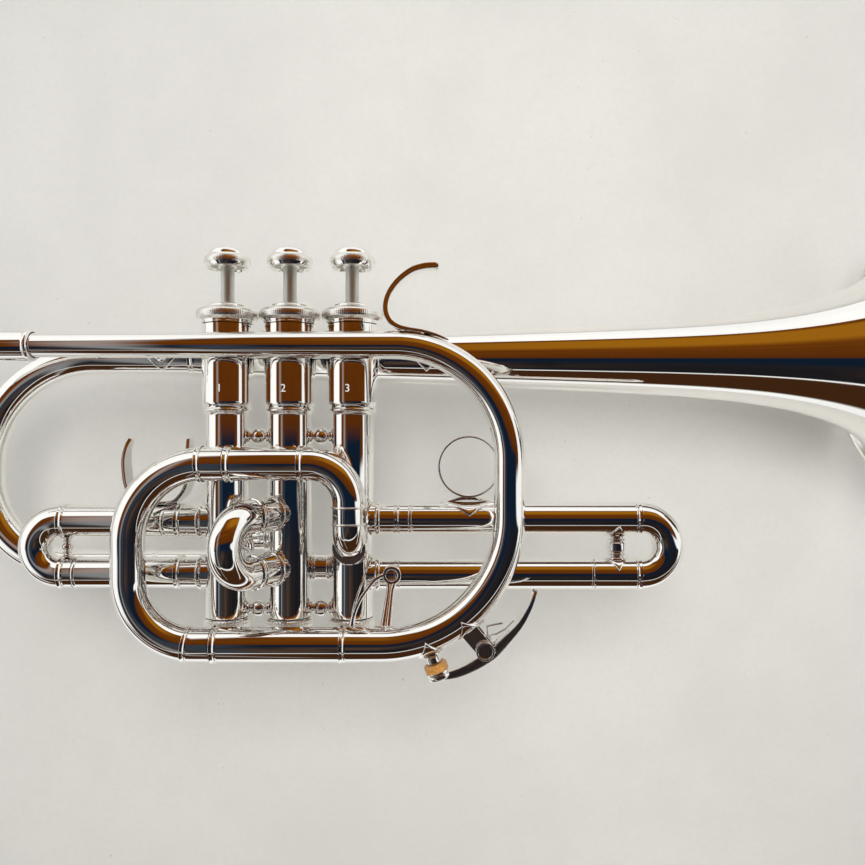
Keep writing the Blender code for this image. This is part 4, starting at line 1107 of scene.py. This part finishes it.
def lower_leg_brace():
    """The forked brace: an eye by the slide's tube, a strut of two rods and a thin curved one."""
    x, y, height = LEG_BRACE_EYE
    section = soften([(4.0, 2.4), (2.2, 2.4), (2.2, -0.9), (4.0, -0.9)], 0.8, True, 6)
    eye = lathe(section, LEG_BRACE_EYE, LEFT, sides=64, ring=True)
    for side in (-1, 1):
        eye.join(wire([(x - 0.1 + side * 1.3, y, height - 3.2),
                       (x - 0.5 + side * 0.8, y - 1.0, height - 6.0),
                       (x - 1.2 + side * 0.9, y - 3.2, height - 12.0),
                       (41.6 + side * 1.1, -14.6, -7.6)], [0.9, 0.95, 1.0, 1.3]))
    thin = wire([(x - 3.0, y, height + 0.2), (36.5, -9.4, 10.4), (31.5, -11.2, 4.0),
                 (28.6, -12.2, -2.4), (27.6, -13.0, -8.2)], [0.95, 0.8, 0.8, 0.85, 1.5])
    feet = [diamond_foot((41.6, PIPE_Y, LOWER_LEG_Z), FRONT, (0, 0.42, 0.9), 6.85, 4.6, 5.5, 0.6),
            diamond_foot((28.4, PIPE_Y, LOWER_LEG_Z), FRONT, (0, 0.6, 0.8), 6.85, 3.2, 3.5, 0.5)]
    piece("lower_leg_brace_forked", eye.join(thin, *feet), [SILVER], "lower_leg_brace")


def finger_hook():
    """The little finger's hook: a tapered strip that curls up from a leaf-shaped foot."""
    centre_x = FRONT_BOW_X - FRONT_BOW_UPPER_BEND
    centre_z = PIPE_Z - FRONT_BOW_UPPER_BEND
    reach = FRONT_BOW_UPPER_BEND + 5.8 + 0.8
    points = [(62.2, 138.4), (57.0, 138.0), (51.8, 136.2), (46.4, 131.9), (42.8, 126.4),
              (41.8, 120.9), (43.4, 116.4), (46.8, 114.0)]
    sizes = [(6.4, 2.7), (6.8, 2.7), (7.0, 2.6), (7.0, 2.5), (7.0, 2.5), (7.0, 2.5), (7.0, 2.4),
             (6.8, 2.0)]
    for degrees, width in ((6.0, 6.4), (12.0, 5.4), (18.0, 3.6), (24.0, 0.8)):
        turn = math.radians(degrees)
        points.append((centre_x + reach * math.sin(turn), centre_z + reach * math.cos(turn)))
        sizes.append((width, 1.2 if degrees < 20 else 0.5))
    hook = strip([(x, PIPE_Y, z) for x, z in points], sizes, 7.0)
    tip = ribbon([(61.4, PIPE_Y, 138.35), (62.2, PIPE_Y, 138.4), (62.9, PIPE_Y, 138.45),
                  (63.3, PIPE_Y, 138.45)], [6.4, 6.6, 6.2, 4.6], [2.7, 3.2, 3.0, 1.8], corner=2.6)
    plated("finger_hook", hook.join(tip))


bell()
bell_bow()
bell_braces()
lower_leg_brace()
finger_hook()


# Water key ---------------------------------------------------------------------------------------
def key_point(angle, radius):
    """A point by the front bow's lower bend, by angle from straight down and radius."""
    turn = math.radians(angle)
    return Vector((KEY_CENTRE[0] + radius * math.sin(turn), PIPE_Y,
                   KEY_CENTRE[1] - radius * math.cos(turn)))


def outward(angle):
    """The direction away from the bend's centre."""
    return (key_point(angle, 2.0) - key_point(angle, 1.0)).normalized()


def bend_foot(angle, half_length, half_wrap, thickness):
    """A diamond foot on the bend, bent to follow it."""
    out = outward(angle)
    along = out.cross(LEFT)
    shape = diamond_foot(key_point(angle, FRONT_BOW_LOWER_BEND), along, out, 6.75, half_length,
                         half_wrap, thickness)
    centre = Vector((KEY_CENTRE[0], PIPE_Y, KEY_CENTRE[1]))
    home = key_point(angle, FRONT_BOW_LOWER_BEND)
    bent_points = []
    for point in shape.points:
        run = (point - home).dot(along)
        lift = (point - centre).dot(out)
        side = (point - centre).dot(LEFT)
        turn = run / FRONT_BOW_LOWER_BEND
        bent_points.append(centre + LEFT * side
                           + (out * math.cos(turn) + along * math.sin(turn)) * lift)
    shape.points = bent_points
    return shape


def nipple_and_cork():
    """The drain nipple on its foot, and the cork that closes it."""
    out = outward(KEY_BORE_ANGLE)
    foot = key_point(KEY_BORE_ANGLE, KEY_TUBE_OUTSIDE + GAP)
    profile = soften([(1.6, 3.6), (2.9, 3.6), (2.9, 1.0), (3.6, 0.5), (4.4, 0.1), (4.4, -1.0),
                      (1.6, -1.0)], 0.3, True)
    nipple = lathe(profile, foot, out, sides=48, ring=True)
    plated("water_key_nipple", nipple.join(bend_foot(KEY_BORE_ANGLE, 5.8, 10.2, 0.8)))
    pad = foot + out * (3.6 + GAP)
    cork = soften([(1.0, 3.7), (4.4, 3.7), (4.75, 3.0), (4.75, 0.6), (4.3, 0.0), (3.4, 0.0),
                   (3.2, 0.3), (1.0, 0.3)], 0.3)
    piece("water_key_cork_cut", lathe(cork, pad, out, sides=48), [CORK], "water_key_cork")
    return pad, out


def lever(pad, out):
    """The lever with its cork cup, pivot boss and thumb tongue."""
    points = [(64.0, -26.0), (69.4, -25.0), (74.5, -23.0), (79.5, -20.2), (84.9, -16.4),
              (90.2, -11.0), (95.6, -4.8), (99.6, 2.2), (102.0, 8.2)]
    sizes = [(4.6, 2.6), (4.6, 3.6), (4.6, 4.0), (5.0, 4.6), (5.2, 4.8), (6.4, 3.8), (7.2, 2.7),
             (6.6, 2.0), (3.6, 1.5)]
    arm = strip([(x, PIPE_Y, z) for x, z in points], sizes, 7.0)
    cup = soften([(1.0, 6.4), (4.3, 6.4), (4.75, 5.9), (4.85, 4.8), (4.6, 4.4), (4.9, 4.0),
                  (4.9, 3.2), (4.76, 3.1), (4.6, 3.8), (1.0, 3.8)], 0.25)
    boss = soften([(1.0, 2.8), (2.9, 2.8), (2.9, -2.8), (1.0, -2.8)], 0.3)
    shape = arm.join(lathe(cup, pad, out, sides=56), lathe(boss, KEY_PIVOT, LEFT, sides=40))
    plated("water_key_lever", shape)


def plate(outline, base, along, up, normal, thickness, corner):
    """A flat plate with rounded corners."""
    rounded = soften(outline, corner, True, 6)
    middle = sum(rounded, Vector((0, 0))) / len(rounded)
    rings = []
    for inset, place in ((0.12, -0.5), (0.0, -0.38), (0.0, 0.38), (0.12, 0.5)):
        ring = []
        for corner_point in rounded:
            point = corner_point - middle
            point = middle + point * (1 - inset / max(point.length, 0.2))
            ring.append(Vector(base) + along * point.x + up * point.y
                        + normal * place * thickness)
        rings.append(ring)
    return loft(rings)


def saddle():
    """The saddle: a diamond foot and two upright cheeks that hold the pivot screw."""
    out = outward(KEY_SADDLE_ANGLE)
    along = out.cross(LEFT)
    foot = key_point(KEY_SADDLE_ANGLE, KEY_TUBE_OUTSIDE)
    reach = KEY_PIVOT - foot
    lean = reach.dot(along)
    height = reach.dot(out)
    outline = [(-3.7, -1.6), (3.5, -1.6), (lean + 3.4, height + 3.4), (lean - 3.2, height + 3.4)]
    shape = bend_foot(KEY_SADDLE_ANGLE, 6.4, 10.4, 0.8)
    for side in (3.6, -3.6):
        shape.join(plate(outline, foot + LEFT * side, along, out, LEFT, 1.2, 0.9))
    plated("water_key_saddle", shape)


def pivot_and_spring():
    """The rimmed pivot screw and the coiled spring with its two legs."""
    head = soften([(0.5, 0.0), (2.6, 0.0), (3.4, 0.35), (3.4, 1.6), (1.1, 1.7), (1.1, 11.0),
                   (0.5, 11.2)], 0.25)
    base = KEY_PIVOT - LEFT * 6.2
    rim = lathe(soften([(2.9, -0.5), (3.7, -0.4), (3.7, 0.7), (2.9, 0.7)], 0.25, True), base, LEFT,
                sides=64, ring=True)
    piece("water_key_screw_turned", lathe(head[::-1], base, LEFT, sides=64).join(rim), [STEEL],
          "water_key_screw")
    coil = [Vector((89.2, PIPE_Y + 5.2, -6.3)), Vector((89.0, PIPE_Y + 5.2, -6.4)),
            Vector((86.0, PIPE_Y + 5.2, -6.9)), Vector((82.8, PIPE_Y + 5.2, -7.6)),
            Vector((83.0, PIPE_Y + 5.2, -10.2))]
    for i in range(73):
        angle = math.radians(55.0 + 10.0 * i)
        coil.append(Vector((KEY_PIVOT.x + 3.6 * math.cos(angle), PIPE_Y + 5.2 + 1.6 * i / 72,
                            KEY_PIVOT.z + 3.6 * math.sin(angle))))
    coil += [Vector((86.8, PIPE_Y + 6.6, -11.2)), Vector((90.6, PIPE_Y + 5.6, -8.8)),
             Vector((93.8, PIPE_Y + 5.4, -5.6)), Vector((94.0, PIPE_Y + 5.4, -5.4))]
    radii = [0.45] * len(coil)
    piece("water_key_spring_wire", swept(coil, radii, sides=16), [STEEL], "water_key_spring")


pad, pad_direction = nipple_and_cork()
lever(pad, pad_direction)
saddle()
pivot_and_spring()


# The camera's sensor and lens, in millimetres --------------------------------------------------------
SENSOR_WIDTH = 36.0
FOCAL_LENGTH = 31.213873

# Table, floor, light and camera, in metres -----------------------------------------------------------
TABLE_Y = 0.0825
FLOOR_Z = -0.165
CARD_Y = -0.36
CARD_SPLIT = 0.083
ROOM_LIGHT = 1.04
WOOD = (0.165, 0.046, 0.003)
DARK_WOOD = (0.085, 0.022, 0.003)
GOLDEN_WOOD = (0.30, 0.115, 0.006)
NAVY = (0.004, 0.011, 0.024)
DARK = (0.009, 0.009, 0.011)
BROWN_CLOTH = (0.075, 0.045, 0.030)
BLUE_GREY = (0.035, 0.045, 0.06)
TABLE_EDGE = (0.045, 0.017, 0.006)


def painted(name, colour, one_sided):
    """A plain pale painted surface with faint scuffs; one-sided means clear from behind."""
    material, nodes, place = new_material(name)
    cloud = nodes.noise(place, 9.0, 4.0, 0.6)
    scuffs = nodes.remap(nodes.noise(nodes.stretched(place, (40.0, 1.0, 14.0)), 1.0, 6.0, 0.7),
                         0.62, 0.80)
    tint = nodes.mix(nodes.remap(cloud, 0.3, 0.7), rgb(*colour), shaded(colour, 0.93))
    tint = nodes.mix(nodes.times(scuffs, 0.35), tint, shaded(colour, 0.86))
    mottle = nodes.remap(nodes.noise(place, 420.0, 4.0, 0.7), 0.40, 0.70)
    tint = nodes.mix(nodes.times(mottle, 0.20), tint, shaded(colour, 0.86))
    specks = nodes.remap(nodes.noise(place, 300.0, 2.0), 0.76, 0.79)
    tint = nodes.mix(nodes.times(specks, 0.4), tint, rgb(0.45, 0.43, 0.40))
    bump = nodes.bump(nodes.noise(place, 700.0, 3.0), 0.0003, 0.25)
    shader = nodes.add("ShaderNodeBsdfPrincipled", Base_Color=tint, Roughness=0.75, Normal=bump)
    surface = shader.outputs[0]
    if one_sided:
        behind = nodes.add("ShaderNodeNewGeometry").outputs["Backfacing"]
        surface = nodes.blend(behind, shader, nodes.add("ShaderNodeBsdfTransparent"))
    nodes.add("ShaderNodeOutputMaterial", Surface=surface)
    return material


def sheet(name, corners, material):
    """A flat stage surface through four corners, in metres."""
    mesh = bpy.data.meshes.new(name)
    mesh.from_pydata(corners, [], [(0, 1, 2, 3)])
    mesh.materials.append(material)
    surface = bpy.data.objects.new(name, mesh)
    bpy.context.scene.collection.objects.link(surface)
    return surface


def stage():
    """The table that the instrument lies against, and the floor below."""
    left, right, top = -1.1, 1.3, 1.0
    sheet("table", [(left, TABLE_Y, FLOOR_Z), (right, TABLE_Y, FLOOR_Z), (right, TABLE_Y, top),
                    (left, TABLE_Y, top)], painted("painted_table", (0.88, 0.875, 0.845), True))
    floor = sheet("floor", [(-3, -3, FLOOR_Z), (3, -3, FLOOR_Z), (3, 3, FLOOR_Z), (-3, 3, FLOOR_Z)],
                  painted("painted_floor", (0.78, 0.77, 0.74), False))
    floor.visible_glossy = False


def room_white(nodes, vector):
    """The white of the room in reflections, with faint uneven patches."""
    return nodes.mix(nodes.remap(nodes.noise(vector, 1.1, 2.0), 0.35, 0.65),
                     rgb(1.0, 0.99, 0.965), rgb(0.86, 0.865, 0.86))


def studio_world():
    """Even light for the stage; for reflections, a white room with a dark edge low ahead."""
    world = bpy.data.worlds.new("studio")
    bpy.context.scene.world = world
    nodes = Nodes(world)
    ray = nodes.add("ShaderNodeTexCoord").outputs["Generated"]
    parts = nodes.add("ShaderNodeSeparateXYZ", Vector=ray)
    forward = nodes.times(parts.outputs[1], -1.0)
    rise = nodes.math("DEGREES", nodes.math("ARCTAN2", parts.outputs[2], forward))
    edge = nodes.times(nodes.remap(rise, -96.0, -90.0), nodes.remap(rise, -70.0, -66.0, 1.0, 0.0))
    seen = nodes.mix(edge, room_white(nodes, ray), rgb(*TABLE_EDGE))
    mirror = nodes.add("ShaderNodeBackground", Color=seen, Strength=ROOM_LIGHT)
    plain = nodes.add("ShaderNodeBackground", Color=rgb(1.0, 0.995, 0.98), Strength=0.38)
    glossy = nodes.add("ShaderNodeLightPath").outputs["Is Glossy Ray"]
    nodes.add("ShaderNodeOutputWorld", Surface=nodes.blend(glossy, plain, mirror))


def between(nodes, value, low, high, soft):
    """One between two limits and zero outside them, with soft edges."""
    return nodes.times(nodes.remap(nodes.minus(value, low), -soft, soft),
                       nodes.remap(nodes.minus(high, value), -soft, soft))


def card_wood(nodes, place, x, above):
    """The wood panel's extent on the card and its colour, brighter to the upper right."""
    left = nodes.remap(above, 0.22, 0.40, -0.46, -0.22)
    extent = nodes.times(between(nodes, above, -0.04, 0.72, 0.012),
                         between(nodes, x, left, 0.75, 0.03))
    grain = nodes.noise(nodes.stretched(place, (2.0, 1.0, 14.0)), 1.0, 4.0, 0.6)
    wood = nodes.mix(nodes.remap(grain, 0.3, 0.7), rgb(*WOOD), rgb(*DARK_WOOD))
    tilt = nodes.plus(above, nodes.times(x, -0.10))
    glow = nodes.times(between(nodes, tilt, 0.22, 0.56, 0.05), nodes.remap(x, -0.15, 0.20))
    wood = nodes.mix(glow, wood, rgb(*GOLDEN_WOOD))
    return extent, nodes.mix(nodes.remap(above, 0.0, 0.12, 1.0, 0.0), wood, rgb(*DARK_WOOD))


def card_coat(nodes, place, x, below):
    """The dark coat's extent on the card and its colour, browner low and to the left."""
    left = nodes.minus(-0.40, nodes.times(below, 0.3))
    right = nodes.remap(below, 0.06, 0.22, 0.42, 0.9)
    extent = nodes.times(between(nodes, below, 0.0, 0.38, 0.012),
                         between(nodes, x, left, right, 0.06))
    folds = nodes.noise(nodes.stretched(place, (6.0, 1.0, 3.0)), 1.0, 4.0, 0.6)
    brown = nodes.times(nodes.remap(folds, 0.42, 0.66), nodes.remap(x, 0.0, 0.2, 1.0, 0.1))
    cloth = nodes.mix(brown, rgb(*DARK), rgb(*BROWN_CLOTH))
    coat = nodes.mix(nodes.remap(below, 0.05, 0.16), rgb(*NAVY), cloth)
    return extent, nodes.mix(between(nodes, x, -0.16, -0.12, 0.03), coat, rgb(*BLUE_GREY))


def card_material():
    """Wood above, a coat below it, a dark table edge at the bottom and white around."""
    material, nodes, place = new_material("room_card")
    parts = nodes.add("ShaderNodeSeparateXYZ", Vector=place)
    wander = nodes.times(nodes.minus(nodes.noise(place, 4.0, 3.0), 0.5), 0.10)
    x = nodes.plus(parts.outputs[0], wander)
    above = nodes.minus(parts.outputs[2], nodes.remap(x, -0.30, -0.16, 0.0, CARD_SPLIT))
    below = nodes.times(above, -1.0)
    seen = room_white(nodes, place)
    for extent, colour in (card_wood(nodes, place, x, above), card_coat(nodes, place, x, below)):
        seen = nodes.mix(extent, seen, colour)
    table_edge = nodes.times(between(nodes, below, 0.42, 2.5, 0.02),
                             between(nodes, x, -0.9, 1.4, 0.05))
    seen = nodes.mix(table_edge, seen, rgb(*TABLE_EDGE))
    pale = nodes.times(between(nodes, x, -0.27, -0.20, 0.03), 0.25)
    seen = nodes.mix(pale, seen, rgb(0.80, 0.81, 0.80))
    glow = nodes.add("ShaderNodeEmission", Color=seen, Strength=ROOM_LIGHT)
    nodes.add("ShaderNodeOutputMaterial", Surface=glow.outputs[0])
    return material


def room_card():
    """A card behind the camera that only reflections see."""
    card = sheet("room_card", [(-1.2, CARD_Y, -1.6), (1.7, CARD_Y, -1.6), (1.7, CARD_Y, 1.0),
                               (-1.2, CARD_Y, 1.0)], card_material())
    for ray_kind in ("camera", "diffuse", "shadow", "transmission"):
        setattr(card, f"visible_{ray_kind}", False)


def soft_light(name, place, target, size, power):
    """A large square light that leaves no spot in the metal."""
    lamp = bpy.data.lights.new(name, "AREA")
    lamp.size = size
    lamp.energy = power
    lamp.color = (1.0, 0.985, 0.96)
    light = bpy.data.objects.new(name, lamp)
    light.location = place
    light.rotation_mode = "QUATERNION"
    light.rotation_quaternion = (Vector(target) - Vector(place)).to_track_quat("-Z", "Y")
    light.visible_glossy = False
    bpy.context.scene.collection.objects.link(light)


def camera():
    """The camera, square to the table, looking at the instrument's right side."""
    lens = bpy.data.cameras.new("camera")
    lens.sensor_width = SENSOR_WIDTH
    lens.lens = FOCAL_LENGTH
    lens.clip_start = 0.01
    eye = bpy.data.objects.new("camera", lens)
    eye.location = (0.0606, -0.319, 0.0834)
    eye.rotation_euler = (math.pi / 2, 0, 0)
    bpy.context.scene.collection.objects.link(eye)
    bpy.context.scene.camera = eye


stage()
studio_world()
room_card()
soft_light("upper_right", (0.65, -1.00, 0.95), (0.1, 0.05, 0.08), 0.60, 1.5)
soft_light("lower_right", (0.80, -1.15, -0.25), (0.15, 0.05, 0.08), 0.60, 3.0)
soft_light("upper_left", (-0.60, -1.10, 0.55), (0.0, 0.05, 0.08), 0.80, 1.0)
soft_light("ahead", (0.08, -0.60, 0.26), (0.08, 0.05, 0.07), 0.30, 2.0)
camera()
bpy.context.scene.view_settings.view_transform = "Standard"
